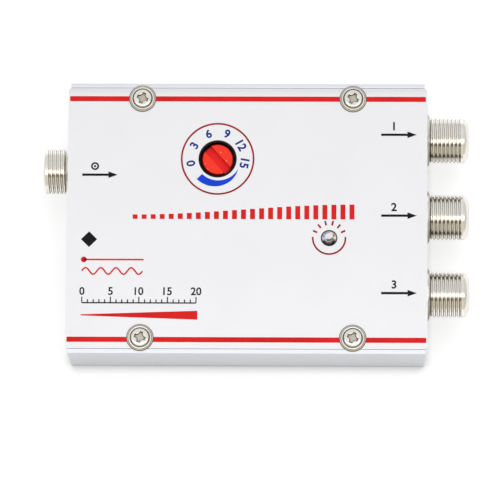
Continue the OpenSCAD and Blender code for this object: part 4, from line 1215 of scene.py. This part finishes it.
def aimed_camera(settings):
    """A camera at its place that looks at the target: its axes are the way back from the target, the level
    way right of it and the way up between them, turned by the roll."""
    data = bpy.data.cameras.new("camera")
    data.lens = settings.camera_lens
    data.sensor_width = 36.0
    data.clip_start = 0.01
    camera = add_object("camera", data)
    place = Vector(settings.camera_place)
    back = (place - Vector(settings.camera_target)).normalized()
    right = Vector((0.0, 1.0, 0.0)).cross(back).normalized()
    aim = Matrix((right, back.cross(right), back)).transposed().to_4x4()
    roll = Matrix.Rotation(settings.camera_roll, 4, "Z")
    camera.matrix_world = Matrix.Translation(place) @ aim @ roll
    return camera


class AMPLIFIER_OT_stage(bpy.types.Operator):
    """Lays the floor, hangs the lights and sets the camera"""
    bl_idname = "amplifier.stage"
    bl_label = "Stage"

    def execute(self, context):
        settings = context.scene.amplifier_stage
        half, floor_gap = settings.floor_size / 2, 0.05 * MM
        level = CAD_BOX[0].z - floor_gap
        square = half * np.array([[-1.0, -1.0], [1.0, -1.0], [1.0, 1.0], [-1.0, 1.0]])
        corners = np.column_stack([square, np.full(len(square), level)])
        stage_sheet("floor", corners, [[0, 1, 2, 3]], floor_material(settings))
        world_light(settings)
        dark_card()
        lamp("key_lamp", settings.key, size=(0.9, 0.9), place=(0.15, 0.5, 0.8), mirrored=False)
        lamp("fill_lamp", settings.fill, size=(0.9, 0.18), place=(0.0, -0.135, 0.585), mirrored=True)
        context.scene.camera = aimed_camera(settings)
        context.scene.view_settings.view_transform = "Standard"
        return {"FINISHED"}


OPERATORS = (
    AMPLIFIER_OT_finishes,
    AMPLIFIER_OT_port_shells,
    AMPLIFIER_OT_cover_screws,
    AMPLIFIER_OT_light_dome,
    AMPLIFIER_OT_border_print,
    AMPLIFIER_OT_dial_print,
    AMPLIFIER_OT_light_print,
    AMPLIFIER_OT_port_print,
    AMPLIFIER_OT_level_print,
    AMPLIFIER_OT_stage,
)
SETTINGS = {
    "amplifier_port": PortSettings,
    "amplifier_screw": ScrewSettings,
    "amplifier_light": LightSettings,
    "amplifier_print": PrintSettings,
    "amplifier_finish": FinishSettings,
    "amplifier_stage": StageSettings,
}


class AMPLIFIER_PT_panel(bpy.types.Panel):
    """Lists the pieces, their sizes and the stage."""
    bl_label = "Signal amplifier"
    bl_idname = "AMPLIFIER_PT_panel"
    bl_space_type = "VIEW_3D"
    bl_region_type = "UI"
    bl_category = "Amplifier"

    def draw(self, context):
        for operator in OPERATORS:
            self.layout.operator(operator.bl_idname)
        for name, group in SETTINGS.items():
            box = self.layout.box()
            for field in group.__annotations__:
                box.prop(getattr(context.scene, name), field)


def register():
    """Registers the settings, the operators and the panel."""
    for name, group in SETTINGS.items():
        bpy.utils.register_class(group)
        setattr(bpy.types.Scene, name, PointerProperty(type=group))
    for operator in OPERATORS:
        bpy.utils.register_class(operator)
    bpy.utils.register_class(AMPLIFIER_PT_panel)


def unregister():
    """Takes out what register added."""
    bpy.utils.unregister_class(AMPLIFIER_PT_panel)
    for operator in reversed(OPERATORS):
        bpy.utils.unregister_class(operator)
    for name, group in reversed(SETTINGS.items()):
        delattr(bpy.types.Scene, name)
        bpy.utils.unregister_class(group)


def main():
    """Makes every piece and the stage."""
    register()
    bpy.ops.amplifier.finishes()
    bpy.ops.amplifier.port_shells()
    bpy.ops.amplifier.cover_screws()
    bpy.ops.amplifier.light_dome()
    bpy.ops.amplifier.border_print()
    bpy.ops.amplifier.dial_print()
    bpy.ops.amplifier.light_print()
    bpy.ops.amplifier.port_print()
    bpy.ops.amplifier.level_print()
    bpy.ops.amplifier.stage()


if __name__ == "__main__":
    main()
